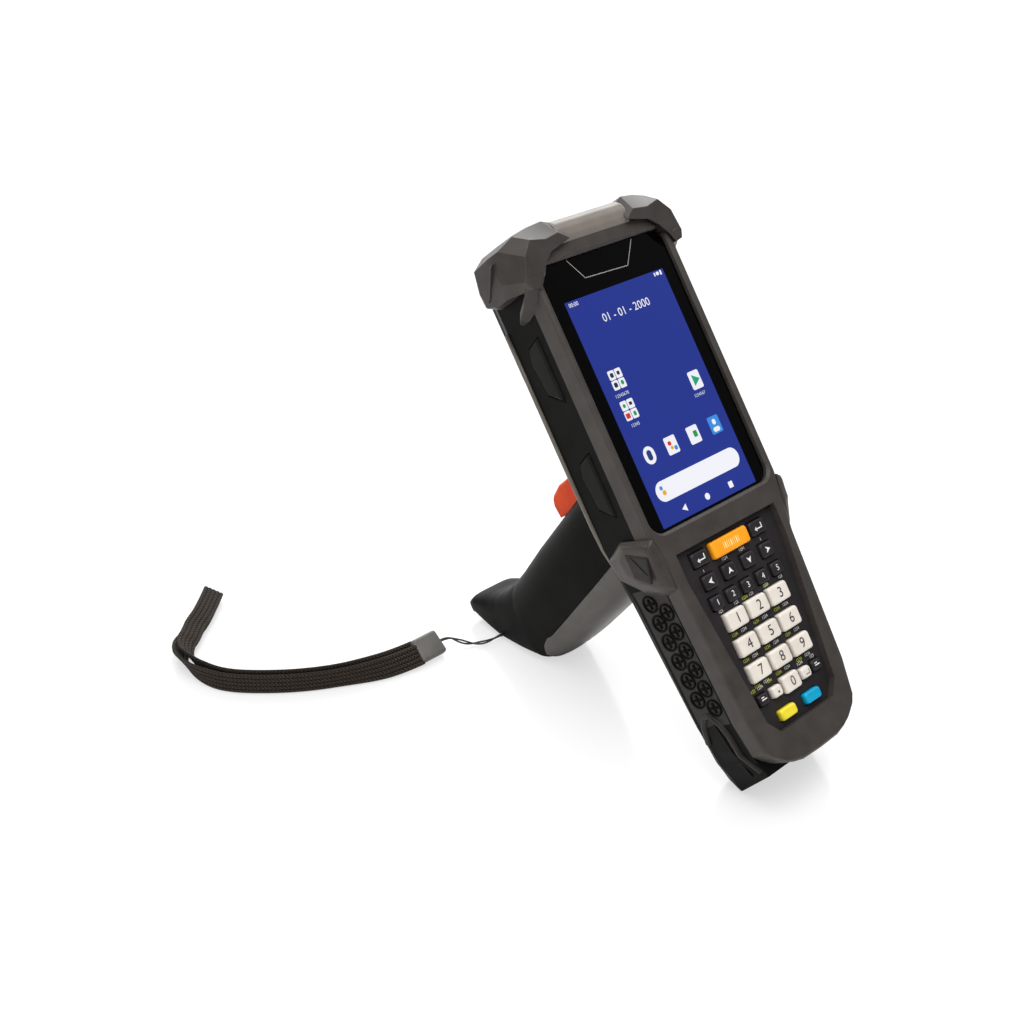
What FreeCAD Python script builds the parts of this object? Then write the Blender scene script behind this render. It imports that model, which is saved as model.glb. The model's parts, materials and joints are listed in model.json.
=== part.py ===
# Portable barcode data terminal with a pistol grip and a wrist lanyard.
# Every piece is drawn lying on its back: X across, Y along the case, Z out of the display.
# One placement then stands it on its handle's base and on the lower end of the case.
import FreeCAD, Part
import math
import os
import re
import Sketcher

Vector = FreeCAD.Vector
doc = FreeCAD.newDocument("Terminal")

# Driving dimensions in millimetres and degrees
SIZES = {
    "stand_angle": 54.13,
    "glass_wide": 70.6,
    "glass_top": 62.5,
    "glass_low": 47.8,
    "glass_thick": 1.8,
    "glass_corner": 6.0,
    "rim_rise": 2.4,
    "rim_bevel": 1.6,
    "rim_side": 3.3,
    "rim_top": 7.5,
    "case_deep": 31.0,
    "case_long": 109.5,
    "case_corner": 4.0,
    "nose_rise": 7.0,
    "corner_cut": 12.0,
    "frame_deep": 6.0,
    "wall_thick": 2.4,
    "wall_inset": 0.6,
    "waist_taper": 4.2,
    "heel_taper": 7.4,
    "tail_taper": 10.2,
    "foot_flat": 8.3,
    "lug_gap": 26.0,
    "bar_high": 9.7,
    "plate_long": 79.5,
    "plate_sink": 0.4,
    "plate_thick": 1.4,
    "plate_ledge": 1.4,
    "plate_corner": 2.0,
    "seat_gap": 0.15,
    "key_rise": 0.8,
    "key_body": 3.2,
    "key_gap": 0.25,
    "key_travel": 0.8,
    "key_corner": 1.0,
    "key_bevel": 0.45,
    "digit_pitch_wide": 13.2,
    "digit_pitch_long": 11.0,
    "digit_wide": 11.3,
    "digit_high": 7.5,
    "scan_wide": 21.8,
    "scan_high": 7.0,
    "enter_wide": 9.0,
    "enter_place": 17.6,
    "arrow_wide": 7.2,
    "arrow_high": 6.0,
    "arrow_inner": 5.9,
    "function_wide": 6.4,
    "function_high": 5.4,
    "function_pitch": 9.3,
    "zero_wide": 9.6,
    "zero_high": 7.0,
    "small_wide": 5.4,
    "small_high": 4.6,
    "point_place": 9.2,
    "escape_place": 17.0,
    "colour_wide": 9.3,
    "colour_high": 4.6,
    "colour_place": 7.8,
    "side_key_long": 26.6,
    "side_key_rise": 0.9,
    "side_key_body": 2.2,
    "side_key_travel": 0.6,
    "side_key_front": 10.8,
    "side_key_upper": 26.0,
    "side_key_lower": 22.2,
    "bumper_wall": 6.9,
    "bumper_rise": 5.6,
    "bumper_deep": 26.0,
    "bumper_crown": 1.6,
    "bumper_inner": 18.5,
    "bumper_long": 33.1,
    "mid_wall": 4.2,
    "mid_deep": 26.5,
    "window_wide": 34.0,
    "window_high": 13.0,
    "window_thick": 1.6,
    "window_place": 17.0,
    "board_thick": 1.6,
    "display_thick": 3.6,
    "neck_half": 15.5,
    "grip_half": 18.5,
    "toe_half": 13.5,
    "base_reach": 145.9,
    "trigger_half": 7.2,
    "trigger_gap": 0.5,
    "pivot_up": 21.0,
    "pivot_deep": 41.5,
    "pin_radius": 1.5,
    "pin_clear": 0.05,
    "pin_hold": 3.0,
    "hub_radius": 4.2,
    "edge_slope": 5.0,
    "battery_half": 20.0,
    "battery_start": 86.0,
    "battery_inner": 14.0,
    "latch_half": 6.5,
    "latch_long": 7.0,
    "latch_thick": 2.2,
    "latch_travel": 2.5,
    "screw_radius": 2.3,
    "screw_long": 4.0,
    "screw_sink": 0.6,
    "strap_high": 10.0,
    "strap_thick": 1.3,
    "strap_gap": 3.7,
    "string_thick": 1.6,
    "clip_long": 14.0,
    "clip_wide": 11.5,
    "clip_thick": 4.4,
    "clip_tilt": 38.0,
    "clip_edge": 0.9,
    "post_radius": 1.0,
    "post_long": 8.0,
    "post_reach": 16.5,
    "post_along": 144.5,
    "post_up": 3.2,
}

# Sizes that follow from the driving ones: the case grows with its window, and the keypad follows the case
FOLLOWING = {
    "case_half": "glass_wide/2 + rim_side",
    "case_top": "glass_top + rim_top",
    "nose_top": "case_top + nose_rise",
    "waist_start": "glass_low - 1.8",
    "waist_end": "glass_low + 23.2",
    "waist_half": "case_half - waist_taper",
    "heel_half": "case_half - heel_taper",
    "tail_half": "case_half - tail_taper",
    "tail_flat": "tail_half - 7.9",
    "tail_low": "glass_low + case_long - 5.8",
    "tail_start": "tail_low - 8.5",
    "heel_start": "tail_low - 25.5",
    "lug_start": "tail_low - 17.5",
    "foot_low": "tail_low + 6",
    "foot_deep": "case_deep - 2.5",
    "plate_top": "glass_low + bar_high",
    "plate_side": "plate_top + 11.5",
    "plate_low": "plate_top + plate_long",
    "plate_half": "waist_half - 4.6",
    "plate_tail_half": "heel_half - 9.6",
    "scan_place": "plate_top + 5.6",
    "arrow_place": "plate_top + 15.3",
    "function_place": "plate_top + 23.8",
    "digit_start": "plate_top + 32.8",
    "low_place": "plate_top + 65.5",
    "colour_row": "plate_top + 74.9",
    "bumper_half": "case_half + bumper_wall",
    "bumper_top": "nose_top + bumper_crown",
    "bumper_arm": "bumper_top - bumper_long",
    "mid_half": "case_half + mid_wall",
    "mid_start": "waist_start - 1",
    "mid_end": "waist_end - 1",
    "battery_end": "lug_start - 3.2",
}

sheet = doc.addObject("Spreadsheet::Sheet", "Sizes")
for row, (alias, value) in enumerate(list(SIZES.items()) + list(FOLLOWING.items()), start=1):
    sheet.set("A%d" % row, alias)
    sheet.set("B%d" % row, "=" + value if alias in FOLLOWING else str(value))
    sheet.setAlias("B%d" % row, alias)
doc.recompute()


def bind(text):
    """The same expression with each size read from the sheet."""
    return re.sub(r"[a-z]+(?:_[a-z]+)+", lambda word: "Sizes." + word.group(0), str(text))


def number(text):
    """The value of an expression now."""
    value = sheet.evalExpression(bind(text))
    return float(getattr(value, "Value", value))


def new_body(label):
    body = doc.addObject("PartDesign::Body", label)
    body.Label = label
    return body


def new_sketch(body, role, offset):
    """A sketch on one of the body's own planes, moved along the plane's normal."""
    plane = [item for item in body.Origin.OriginFeatures if item.Role == role][0]
    sketch = body.newObject("Sketcher::SketchObject", body.Label + "_outline")
    sketch.AttachmentSupport = [(plane, "")]
    sketch.MapMode = "FlatFace"
    sketch.setExpression("AttachmentOffset.Base.z", bind(offset))
    return sketch


def add_polygon(sketch, points):
    """Straight sides through points given as pairs of expressions."""
    places = [Vector(number(along), number(up), 0) for along, up in points]
    first = sketch.GeometryCount
    count = len(points)
    for index in range(count):
        sketch.addGeometry(Part.LineSegment(places[index], places[(index + 1) % count]))
    for index in range(count):
        following = first + (index + 1) % count
        sketch.addConstraint(Sketcher.Constraint("Coincident", first + index, 2, following, 1))
    for index, (along, up) in enumerate(points):
        corner = places[index]
        for kind, text, value in (("DistanceX", along, corner.x), ("DistanceY", up, corner.y)):
            rule = sketch.addConstraint(Sketcher.Constraint(kind, -1, 1, first + index, 1, value))
            sketch.setExpression("Constraints[%d]" % rule, bind(text))


def add_circle(sketch, along, up, radius):
    index = sketch.addGeometry(
        Part.Circle(Vector(number(along), number(up), 0), Vector(0, 0, 1), number(radius)))
    for kind, text in (("DistanceX", along), ("DistanceY", up)):
        rule = sketch.addConstraint(Sketcher.Constraint(kind, -1, 1, index, 3, number(text)))
        sketch.setExpression("Constraints[%d]" % rule, bind(text))
    rule = sketch.addConstraint(Sketcher.Constraint("Radius", index, number(radius)))
    sketch.setExpression("Constraints[%d]" % rule, bind(radius))


def settle(body):
    """Recompute, and stop at once if one of the body's features failed."""
    doc.recompute()
    for item in body.Group:
        if "Invalid" in item.State or "Error" in item.State:
            raise ValueError("%s failed in %s: %s" % (item.Name, body.Label, item.State))


def feature(body, kind, sketch, length):
    item = body.newObject("PartDesign::" + kind, body.Label + "_" + kind.lower())
    item.Profile = sketch
    item.setExpression("Length", bind(length))
    sketch.Visibility = False
    return item


def slab(body, points, low, high, role="XY_Plane"):
    """Solid between two levels of a plane's normal; points or a circle outline it."""
    sketch = new_sketch(body, role, low)
    outline(sketch, points)
    return feature(body, "Pad", sketch, "(%s) - (%s)" % (high, low))


def cut(body, points, low, high, role="XY_Plane"):
    """The same prism taken away, and the volume compared to be sure that it cut."""
    settle(body)
    before = body.Shape.Volume
    sketch = new_sketch(body, role, high)
    outline(sketch, points)
    item = feature(body, "Pocket", sketch, "(%s) - (%s)" % (high, low))
    settle(body)
    if not body.Shape.Volume < before:
        raise ValueError("a pocket of %s cut nothing" % body.Label)
    return item


def taper(body, low_points, low, high_points, high):
    """Straight-sided loft between two outlines with as many corners."""
    settle(body)
    sketches = []
    for points, level in ((low_points, low), (high_points, high)):
        sketch = new_sketch(body, "XY_Plane", level)
        outline(sketch, points)
        sketches.append(sketch)
    settle(body)
    loft = body.newObject("PartDesign::AdditiveLoft", body.Label + "_taper")
    loft.Profile = sketches[0]
    loft.Sections = sketches[1:]
    loft.Ruled = True
    settle(body)


def outline(sketch, points):
    if isinstance(points, tuple):
        add_circle(sketch, *points)
    else:
        add_polygon(sketch, points)


def soften(body, radius, pick, kind="Fillet"):
    """Fillet or chamfer the edges that pick chooses."""
    settle(body)
    names = ["Edge%d" % number_of for number_of, edge in enumerate(body.Tip.Shape.Edges, start=1)
             if pick(edge)]
    item = body.newObject("PartDesign::" + kind, body.Label + "_" + kind.lower())
    item.Base = (body.Tip if body.Tip is not item else item.BaseFeature, names)
    item.setExpression("Radius" if kind == "Fillet" else "Size", bind(radius))
    settle(body)
    return item


def ends(edge):
    return [vertex.Point for vertex in edge.Vertexes]


def upright(edge):
    """An edge along Z."""
    points = ends(edge)
    return len(points) == 2 and abs(points[0].x - points[1].x) + abs(points[0].y - points[1].y) < 1e-4


def at_level(edge, level):
    """An edge that lies in the plane at this height."""
    return all(abs(point.z - level) < 1e-3 for point in ends(edge))


def mirrored(points):
    """A closed outline from its right half, listed from the top down."""
    left = [("-(%s)" % across, up) for across, up in reversed(points)]
    return points + left


def rectangle(across, up, wide, high):
    """Corners of a rectangle about a centre, all given as expressions."""
    return [("%s %s (%s)/2" % (across, side, wide), "%s %s (%s)/2" % (up, rise, high))
            for side, rise in (("-", "-"), ("+", "-"), ("+", "+"), ("-", "+"))]


# Front frame: the rubber-trimmed front of the case, open for the window and for the keypad
def case_outline(inset="0", top="case_top", low="tail_low"):
    return mirrored([
        ("case_half - corner_cut - (%s)" % inset, "%s - (%s)" % (top, inset)),
        ("case_half - (%s)" % inset, "case_top - corner_cut"),
        ("case_half - (%s)" % inset, "-waist_start"),
        ("waist_half - (%s)" % inset, "-waist_end"),
        ("heel_half - (%s)" % inset, "-heel_start"),
        ("tail_half - (%s)" % inset, "-tail_start"),
        ("tail_half - 2 - (%s)" % inset, "-tail_start - 5.5"),
        ("tail_flat - (%s)" % inset, "-(%s) + (%s)" % (low, inset)),
    ])


def window_outline(margin="0"):
    return [("%s (glass_wide/2 + %s)" % (side, margin), level)
            for side, level in (("-", "-glass_low - (%s)" % margin), ("", "-glass_low - (%s)" % margin),
                                ("", "glass_top + %s" % margin), ("-", "glass_top + %s" % margin))]


def plate_outline(margin="0"):
    return mirrored([
        ("plate_half + (%s)" % margin, "-plate_top + (%s)" % margin),
        ("plate_half + (%s)" % margin, "-plate_side"),
        ("plate_tail_half + (%s)" % margin, "-plate_low + 6"),
        ("plate_tail_half - 5", "-plate_low - (%s)" % margin),
    ])


def make_front_frame():
    frame = new_body("front_frame")
    slab(frame, case_outline(), "-frame_deep", "rim_rise")
    soften(frame, "case_corner", upright)
    soften(frame, "rim_bevel", lambda edge: at_level(edge, number("rim_rise")))
    cut(frame, window_outline("seat_gap"), "-glass_thick - seat_gap", "rim_rise + 1")
    cut(frame, window_outline("-3"), "-frame_deep - 1", "0")
    cut(frame, plate_outline("seat_gap"), "-plate_sink - plate_thick - seat_gap", "rim_rise + 1")
    cut(frame, plate_outline("-plate_ledge"), "-frame_deep - 1", "0")
    reach = number("glass_wide/2 + seat_gap") + 0.01
    inner = number("glass_low + seat_gap") + 0.01
    soften(frame, "glass_corner", lambda edge: upright(edge) and max(p.z for p in ends(edge)) > 1
           and abs(abs(ends(edge)[0].x) - reach) < 0.05 and ends(edge)[0].y > -inner - 0.05)
    soften(frame, "1.1", lambda edge: at_level(edge, number("rim_rise"))
           and all(abs(p.x) < reach + 0.2 and -inner - 0.2 < p.y < number("glass_top") + 0.5
                   for p in ends(edge)), "Chamfer")
    return frame


def make_display_glass():
    glass = new_body("display_glass")
    slab(glass, window_outline(), "-glass_thick", "0")
    soften(glass, "glass_corner - seat_gap", upright)
    return glass


def make_display_module():
    module = new_body("display_module")
    slab(module, window_outline("-3.3"), "-glass_thick - 0.1 - display_thick", "-glass_thick - 0.1")
    return module


# Rear housing: the deep tub behind the frame, with the scanner's nose, the grip's seat and the heel
def floor_along(distance):
    """A point of the side view on the floor line, this far from the case's lowest corner."""
    return ("-foot_low + (%s)*cos(stand_angle*1deg)" % distance,
            "-foot_deep - (%s)*sin(stand_angle*1deg)" % distance)


def back_line():
    """Side view of the case's back, from the nose down to the lowest corner on the floor."""
    return [
        ("nose_top + 0.5", "-8"),
        ("nose_top - 2.5", "-case_deep + 6"),
        ("nose_top - 10", "-case_deep"),
        ("-waist_start - 14", "-case_deep"),
        ("-waist_end + 2", "-case_deep - 2.4"),
        ("-waist_end - 18", "-case_deep - 0.8"),
        ("-heel_start - 2", "-case_deep + 3.5"),
        ("-lug_start - 3", "-case_deep + 1"),
        floor_along("foot_flat"),
        floor_along("0"),
    ]


def make_rear_housing():
    tub = new_body("rear_housing")
    full = case_outline("wall_inset", "nose_top", "foot_low + 8")
    slab(tub, full, "-case_deep + edge_slope", "-frame_deep")
    taper(tub, case_outline("wall_inset + edge_slope + 2", "nose_top", "foot_low + 18"), "-case_deep - 6",
          full, "-case_deep + edge_slope")
    around = [("-tail_low", "-frame_deep"), ("-tail_low", "5"), ("-foot_low - 20", "5"),
              ("-foot_low - 20", "-case_deep - 30"), ("nose_top + 20", "-case_deep - 30"),
              ("nose_top + 20", "-8")]
    cut(tub, back_line() + around, "-case_half - 5", "case_half + 5", "YZ_Plane")
    cut(tub, [("-heel_start - 4", "-case_deep + 3.3"), ("-foot_low - 2", "-foot_deep - 1.2"),
              ("-foot_low + 1", "-case_deep - 12"), ("-lug_start + 6", "-case_deep - 12")],
        "-lug_gap/2", "lug_gap/2", "YZ_Plane")
    cavity = [("case_half - wall_inset - wall_thick", "case_top - corner_cut - 1"),
              ("case_half - wall_inset - wall_thick", "-waist_start"),
              ("waist_half - wall_inset - wall_thick", "-waist_end"),
              ("heel_half - wall_inset - wall_thick - 2", "-heel_start + 4")]
    cut(tub, mirrored([("case_half - corner_cut - 4", "case_top - 3")] + cavity),
        "-case_deep + wall_thick + battery_inner", "-frame_deep + 1")
    cut(tub, mirrored([("window_wide/2 - 1", "nose_top + 5"), ("window_wide/2 - 1", "case_top - 26")]),
        "-window_place - window_high/2 + 1", "-window_place + window_high/2 - 1")
    cut(tub, mirrored([("window_wide/2 + seat_gap", "nose_top + 5"),
                       ("window_wide/2 + seat_gap", "nose_top - 3 - window_thick")]),
        "-window_place - window_high/2 - seat_gap", "-window_place + window_high/2 + seat_gap")
    cut(tub, battery_side("seat_gap"), "-battery_half - seat_gap", "battery_half + seat_gap", "YZ_Plane")
    for side in (-1, 1):
        for middle in ("side_key_upper", "-side_key_lower"):
            side_prism(tub, cut, side, side_outline(middle, "0.3"),
                       "case_half - wall_inset - side_key_body", "case_half + 1")
    for across, up in screw_places():
        cut(tub, (across, up, "screw_radius + 0.1"), "-case_deep - 8",
            "-case_deep + screw_sink + screw_long")
    cut(tub, rectangle("0", "-lug_start - 2", "2*latch_half + 0.6", "latch_long + latch_travel + 0.6"),
        "-case_deep - 8", "-case_deep + 2.5 + latch_thick")
    return tub


def screw_places():
    return [("%s(case_half - 7)" % side, up) for side in ("-", "")
            for up in ("case_top - 16", "2", "-waist_start + 6")]


def side_outline(middle, margin="0"):
    """Boat-shaped outline of a side key in the side view, about its middle."""
    half = "(side_key_long/2 + %s)" % margin
    return [("%s + %s" % (middle, half), "-side_key_front + %s" % margin),
            ("%s + %s - 2.6" % (middle, half), "-side_key_front - 7 - %s" % margin),
            ("%s + %s - 8" % (middle, half), "-side_key_front - 8.8 - %s" % margin),
            ("%s - %s + 5" % (middle, half), "-side_key_front - 7.2 - %s" % margin),
            ("%s - %s" % (middle, half), "-side_key_front + %s" % margin)]


def side_prism(body, action, side, points, near, far):
    """A prism along X on one side of the case, between two distances from the middle plane."""
    if side > 0:
        return action(body, points, near, far, "YZ_Plane")
    return action(body, points, "-(%s)" % far, "-(%s)" % near, "YZ_Plane")


def make_side_key(label, side, middle):
    key = new_body(label)
    face = "case_half - wall_inset + side_key_rise"
    side_prism(key, slab, side, side_outline(middle), "case_half - wall_inset - side_key_body + 0.7", face)
    outer = number(face)
    soften(key, "0.7", lambda edge: all(abs(abs(p.x) - outer) < 1e-3 for p in ends(edge)), "Chamfer")
    return key


# Keypad: a plate with a hole for each key, the keys, and the silicone mat under them
def key_table():
    """Each key's label, centre and size."""
    keys = [("key_scan", "0", "-scan_place", "scan_wide", "scan_high"),
            ("key_enter_left", "-enter_place", "-scan_place", "enter_wide", "arrow_high"),
            ("key_enter_right", "enter_place", "-scan_place", "enter_wide", "arrow_high"),
            ("key_left", "-enter_place", "-arrow_place", "arrow_wide", "arrow_high"),
            ("key_up", "-arrow_inner", "-arrow_place", "arrow_wide", "arrow_high"),
            ("key_down", "arrow_inner", "-arrow_place", "arrow_wide", "arrow_high"),
            ("key_right", "enter_place", "-arrow_place", "arrow_wide", "arrow_high")]
    for index in range(5):
        keys.append(("key_f%d" % (index + 1), "%d*function_pitch" % (index - 2), "-function_place",
                     "function_wide", "function_high"))
    for index in range(9):
        keys.append(("key_%d" % (index + 1), "%d*digit_pitch_wide" % (index % 3 - 1),
                     "-digit_start - %d*digit_pitch_long" % (index // 3), "digit_wide", "digit_high"))
    keys += [("key_0", "0", "-low_place", "zero_wide", "zero_high"),
             ("key_point", "-point_place", "-low_place", "small_wide", "small_high"),
             ("key_back", "point_place", "-low_place", "small_wide", "small_high"),
             ("key_escape", "-escape_place", "-low_place", "small_wide", "small_high"),
             ("key_tab", "escape_place", "-low_place", "small_wide", "small_high"),
             ("key_yellow", "-colour_place", "-colour_row", "colour_wide", "colour_high"),
             ("key_blue", "colour_place", "-colour_row", "colour_wide", "colour_high")]
    return keys


def make_keypad_plate():
    plate = new_body("keypad_plate")
    slab(plate, plate_outline(), "-plate_sink - plate_thick", "-plate_sink")
    soften(plate, "plate_corner", upright)
    doc.recompute()
    before = plate.Shape.Volume
    sketch = new_sketch(plate, "XY_Plane", "-plate_sink")
    for label, across, up, wide, high in key_table():
        add_polygon(sketch, rectangle(across, up, wide + " + 2*key_gap", high + " + 2*key_gap"))
    feature(plate, "Pocket", sketch, "plate_thick + 1")
    doc.recompute()
    if not plate.Shape.Volume < before:
        raise ValueError("the key holes cut nothing")
    return plate


def make_key(label, across, up, wide, high):
    key = new_body(label)
    slab(key, rectangle(across, up, wide, high), "key_rise - key_body", "key_rise")
    soften(key, "key_corner", upright, "Chamfer")
    soften(key, "key_bevel", lambda edge: at_level(edge, number("key_rise")), "Chamfer")
    return key


def make_keypad_mat():
    mat = new_body("keypad_mat")
    level = "key_rise - key_body - key_travel - 0.15"
    slab(mat, plate_outline("-plate_ledge - 0.3"), level + " - 1.2", level)
    return mat


# Rubber bumpers: faceted corner guards at the top and chevron guards beside the keypad
def sided(points, side):
    return [("-(%s)" % across, up) for across, up in points] if side < 0 else points


def make_top_bumper(label, side):
    bumper = new_body(label)
    inner_top = "nose_top - wall_inset + seat_gap"
    inner_side = "case_half + seat_gap"
    def ring(inset):
        return sided([
            ("bumper_inner + 1", inner_top), ("bumper_inner + 3", "bumper_top - (%s)/2" % inset),
            ("bumper_inner + 10", "bumper_top + 1 - (%s)" % inset),
            ("bumper_half - 9 - (%s)/2" % inset, "bumper_top - 1.5 - (%s)" % inset),
            ("bumper_half - 3 - (%s)" % inset, "bumper_top - 5 - (%s)/2" % inset),
            ("bumper_half - (%s)" % inset, "bumper_top - 17"),
            ("bumper_half - 0.5 - (%s)" % inset, "bumper_arm + 12"),
            ("bumper_half - 3.5 - (%s)/2" % inset, "bumper_arm + (%s)/2" % inset),
            (inner_side, "bumper_arm"), (inner_side, "case_top - corner_cut"),
            ("case_half - corner_cut - wall_inset + 0.6", inner_top)], side)

    slab(bumper, ring("0"), "-bumper_deep + 3", "bumper_rise - 3.4")
    taper(bumper, ring("0"), "bumper_rise - 3.4", ring("3.2"), "bumper_rise")
    taper(bumper, ring("2.4"), "-bumper_deep", ring("0"), "-bumper_deep + 3")
    lid = [("bumper_inner - 4", "case_top - 1.5"), ("bumper_inner + 1", inner_top),
           ("case_half - corner_cut - wall_inset + 0.6", inner_top),
           (inner_side, "case_top - corner_cut"), (inner_side, "bumper_arm + 2"),
           ("glass_wide/2 + 2.2", "glass_top - 8"), ("glass_wide/2 - 3.5", "glass_top + 1.2")]
    slab(bumper, sided(lid, side), "rim_rise + 0.1", "bumper_rise")
    return bumper


def make_top_cap():
    cap = new_body("top_cap")
    side = [("case_top - 2.2", "rim_rise + 0.1"), ("case_top - 0.5", "rim_rise + 1.7"),
            ("nose_top - 2.5", "rim_rise + 0.6"), ("nose_top + 1.2", "-3.5"), ("nose_top + 1.2", "-7.5"),
            ("nose_top + 0.1 - wall_inset", "-7.5"), ("nose_top + 0.1 - wall_inset", "-frame_deep + 0.1"),
            ("case_top + 0.1", "-frame_deep + 0.1"), ("case_top + 0.1", "rim_rise + 0.1")]
    slab(cap, side, "-bumper_inner + 4.4", "bumper_inner - 4.4", "YZ_Plane")
    return cap


def make_mid_bumper(label, side):
    guard = new_body(label)
    inner = "case_half + seat_gap"
    def chevron(inset):
        return sided([
            (inner, "-mid_start + 2 - (%s)" % inset), ("mid_half - (%s)" % inset, "-mid_start - 6"),
            ("mid_half - (%s)" % inset, "-mid_start - 14"),
            ("waist_half + 2.8 - (%s)/2" % inset, "-mid_end - 1 + (%s)/2" % inset),
            ("waist_half + seat_gap + 0.1", "-waist_end - 1"),
            ("waist_half + seat_gap", "-waist_end"), (inner, "-waist_start")], side)

    slab(guard, chevron("0"), "-mid_deep + 2.5", "rim_rise - 1.2")
    taper(guard, chevron("0"), "rim_rise - 1.2", chevron("2"), "rim_rise + 0.8")
    taper(guard, chevron("2.4"), "-mid_deep", chevron("0"), "-mid_deep + 2.5")
    recess = [("-mid_start - 4", "-6"), ("-mid_start - 9", "0.8"), ("-mid_start - 19", "0.8"),
              ("-mid_start - 21", "-5"), ("-mid_start - 15", "-10")]
    side_prism(guard, cut, side, recess, "mid_half - 1.1", "mid_half + 2")
    return guard


def make_scan_window():
    pane = new_body("scan_window")
    edge = [("window_wide/2", "nose_top - 3"), ("window_wide/2", "nose_top - 3 - window_thick")]
    slab(pane, mirrored(edge),
         "-window_place - window_high/2", "-window_place + window_high/2")
    return pane


def make_scan_engine():
    engine = new_body("scan_engine")
    top = "nose_top - 3 - window_thick - 0.5"
    slab(engine, mirrored([("11", top), ("11", "nose_top - 22")]),
         "-window_place - 5.2", "-window_place + 5.2")
    return engine


def make_main_board():
    board = new_body("main_board")
    level = "-glass_thick - display_thick - 0.5"
    slab(board, mirrored([("case_half - 8", "glass_top - 12"), ("case_half - 8", "-glass_low + 4")]),
         level + " - board_thick", level)
    slab(board, rectangle("0", "-10", "34", "44"), level + " - board_thick - 3", level)
    return board


# Battery: it slides into the back of the lower case and its latch sits between the heel's lugs
def battery_side(margin="0"):
    return [("-battery_start + %s" % margin, "-case_deep + battery_inner + %s" % margin),
            ("-battery_end - %s" % margin, "-case_deep + battery_inner + %s" % margin),
            ("-battery_end - %s" % margin, "-case_deep - 6"),
            ("-battery_start + %s" % margin, "-case_deep - 6")]


def make_battery_pack():
    pack = new_body("battery_pack")
    slab(pack, battery_side(), "-battery_half", "battery_half", "YZ_Plane")
    back = [("-battery_start + 2", "-case_deep + 0.2"), ("-heel_start + 2", "-case_deep + 3.9"),
            ("-battery_end - 1", "-case_deep + 3"), ("-battery_end - 1", "-case_deep - 8"),
            ("-battery_start + 2", "-case_deep - 8")]
    cut(pack, back, "-battery_half - 1", "battery_half + 1", "YZ_Plane")
    return pack


def make_battery_latch():
    latch = new_body("battery_latch")
    top = "-case_deep + 2.2 + latch_thick"
    slab(latch, rectangle("0", "-lug_start - 2 + latch_travel/2", "2*latch_half", "latch_long"),
         top + " - latch_thick", top)
    return latch


# Pistol grip: a lofted handle cut flat where it stands, with a toe that kicks forward
GRIP_CHORDS = 4


def grip_sections():
    """Front and back of the grip at each depth, with its half width and corner radius."""
    return [("-case_deep", "-9", "-57", "neck_half", 9),
            ("-case_deep - 16", "-16.5", "-64", "neck_half + 0.5", 10),
            ("-case_deep - 40", "-24", "-75.5", "grip_half - 0.6", 12),
            ("-case_deep - 68", "-33", "-84.2", "grip_half", 13),
            ("-case_deep - 92", "-45.5", "-89.9", "grip_half - 0.6", 13),
            ("-case_deep - 122", "-60", "-96", "grip_half - 2", 12)]


def fan_section(front, back, half, corner):
    """A rectangle whose corners are fans of straight sides; equal angles keep the loft's faces flat."""
    points = []
    for quarter, (side, level, inward) in enumerate((("", front, "-"), ("-", front, "-"), ("-", back, "+"),
                                                      ("", back, "+"))):
        for step in range(GRIP_CHORDS + 1):
            angle = math.pi / 2 * (quarter + step / GRIP_CHORDS)
            along = corner * (math.cos(angle) - (-1 if side else 1))
            up = corner * (math.sin(angle) - (1 if inward == "-" else -1))
            points.append(("%s(%s) + %.6f" % (side, half, along), "%s + %.6f" % (level, up)))
    return points


def add_grip_loft(body):
    sketches = []
    for depth, front, back, half, corner in grip_sections():
        sketch = new_sketch(body, "XY_Plane", depth)
        add_polygon(sketch, fan_section(front, back, half, corner))
        sketches.append(sketch)
    doc.recompute()
    loft = body.newObject("PartDesign::AdditiveLoft", body.Label + "_loft")
    loft.Profile = sketches[0]
    loft.Sections = sketches[1:]
    loft.Ruled = True
    settle(body)


def seam_line():
    """Side view of the seam between the hard shell and the palm rubber."""
    return [("-51", "-case_deep - 9"), ("-55.7", "-case_deep - 23"), ("-64.3", "-case_deep - 45"),
            ("-76.1", "-case_deep - 77"), ("-77.5", "-case_deep - 84"), ("-84", "-case_deep - 90")]


def make_grip_shell():
    shell = new_body("grip_shell")
    add_grip_loft(shell)
    toe = [("-64", "-128"), ("-50.8", "-134.5"), ("-51.6", "-147"), ("-49.2", "-158"), ("-50", "-161.2"),
           ("-53", "-162.2"), ("-68", "-156")]
    slab(shell, toe, "-toe_half", "toe_half", "YZ_Plane")
    toe_top = -number("case_deep") - 112
    soften(shell, "1.5", lambda edge: all(p.z < toe_top and p.y > -53.5 for p in ends(edge))
           and abs(ends(edge)[0].x - ends(edge)[1].x) > 5)
    cut(shell, [floor_along("100"), floor_along("base_reach"), ("-53", "-162.2"), ("-40", "-172.5"),
                ("-120", "-172.5"), ("-120", "-100")], "-40", "40", "YZ_Plane")
    cut(shell, seam_line() + [("-110", "-case_deep - 90"), ("-110", "-case_deep - 9")],
        "-40", "40", "YZ_Plane")
    slot = [("5", "-case_deep - 4.5"), ("-pivot_up - 8", "-case_deep - 4.5"), ("-33.5", "-case_deep - 31"),
            ("-38.5", "-pivot_deep - 40.8"), ("5", "-pivot_deep - 40.8")]
    cut(shell, slot, "-trigger_half - trigger_gap", "trigger_half + trigger_gap", "YZ_Plane")
    cut(shell, ("-pivot_up", "-pivot_deep", "pin_radius"), "-trigger_half - trigger_gap - pin_hold",
        "trigger_half + trigger_gap + pin_hold", "YZ_Plane")
    cut(shell, post_place() + ("post_radius",), "-post_reach - 10", "-post_reach + post_long", "YZ_Plane")
    return shell


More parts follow.
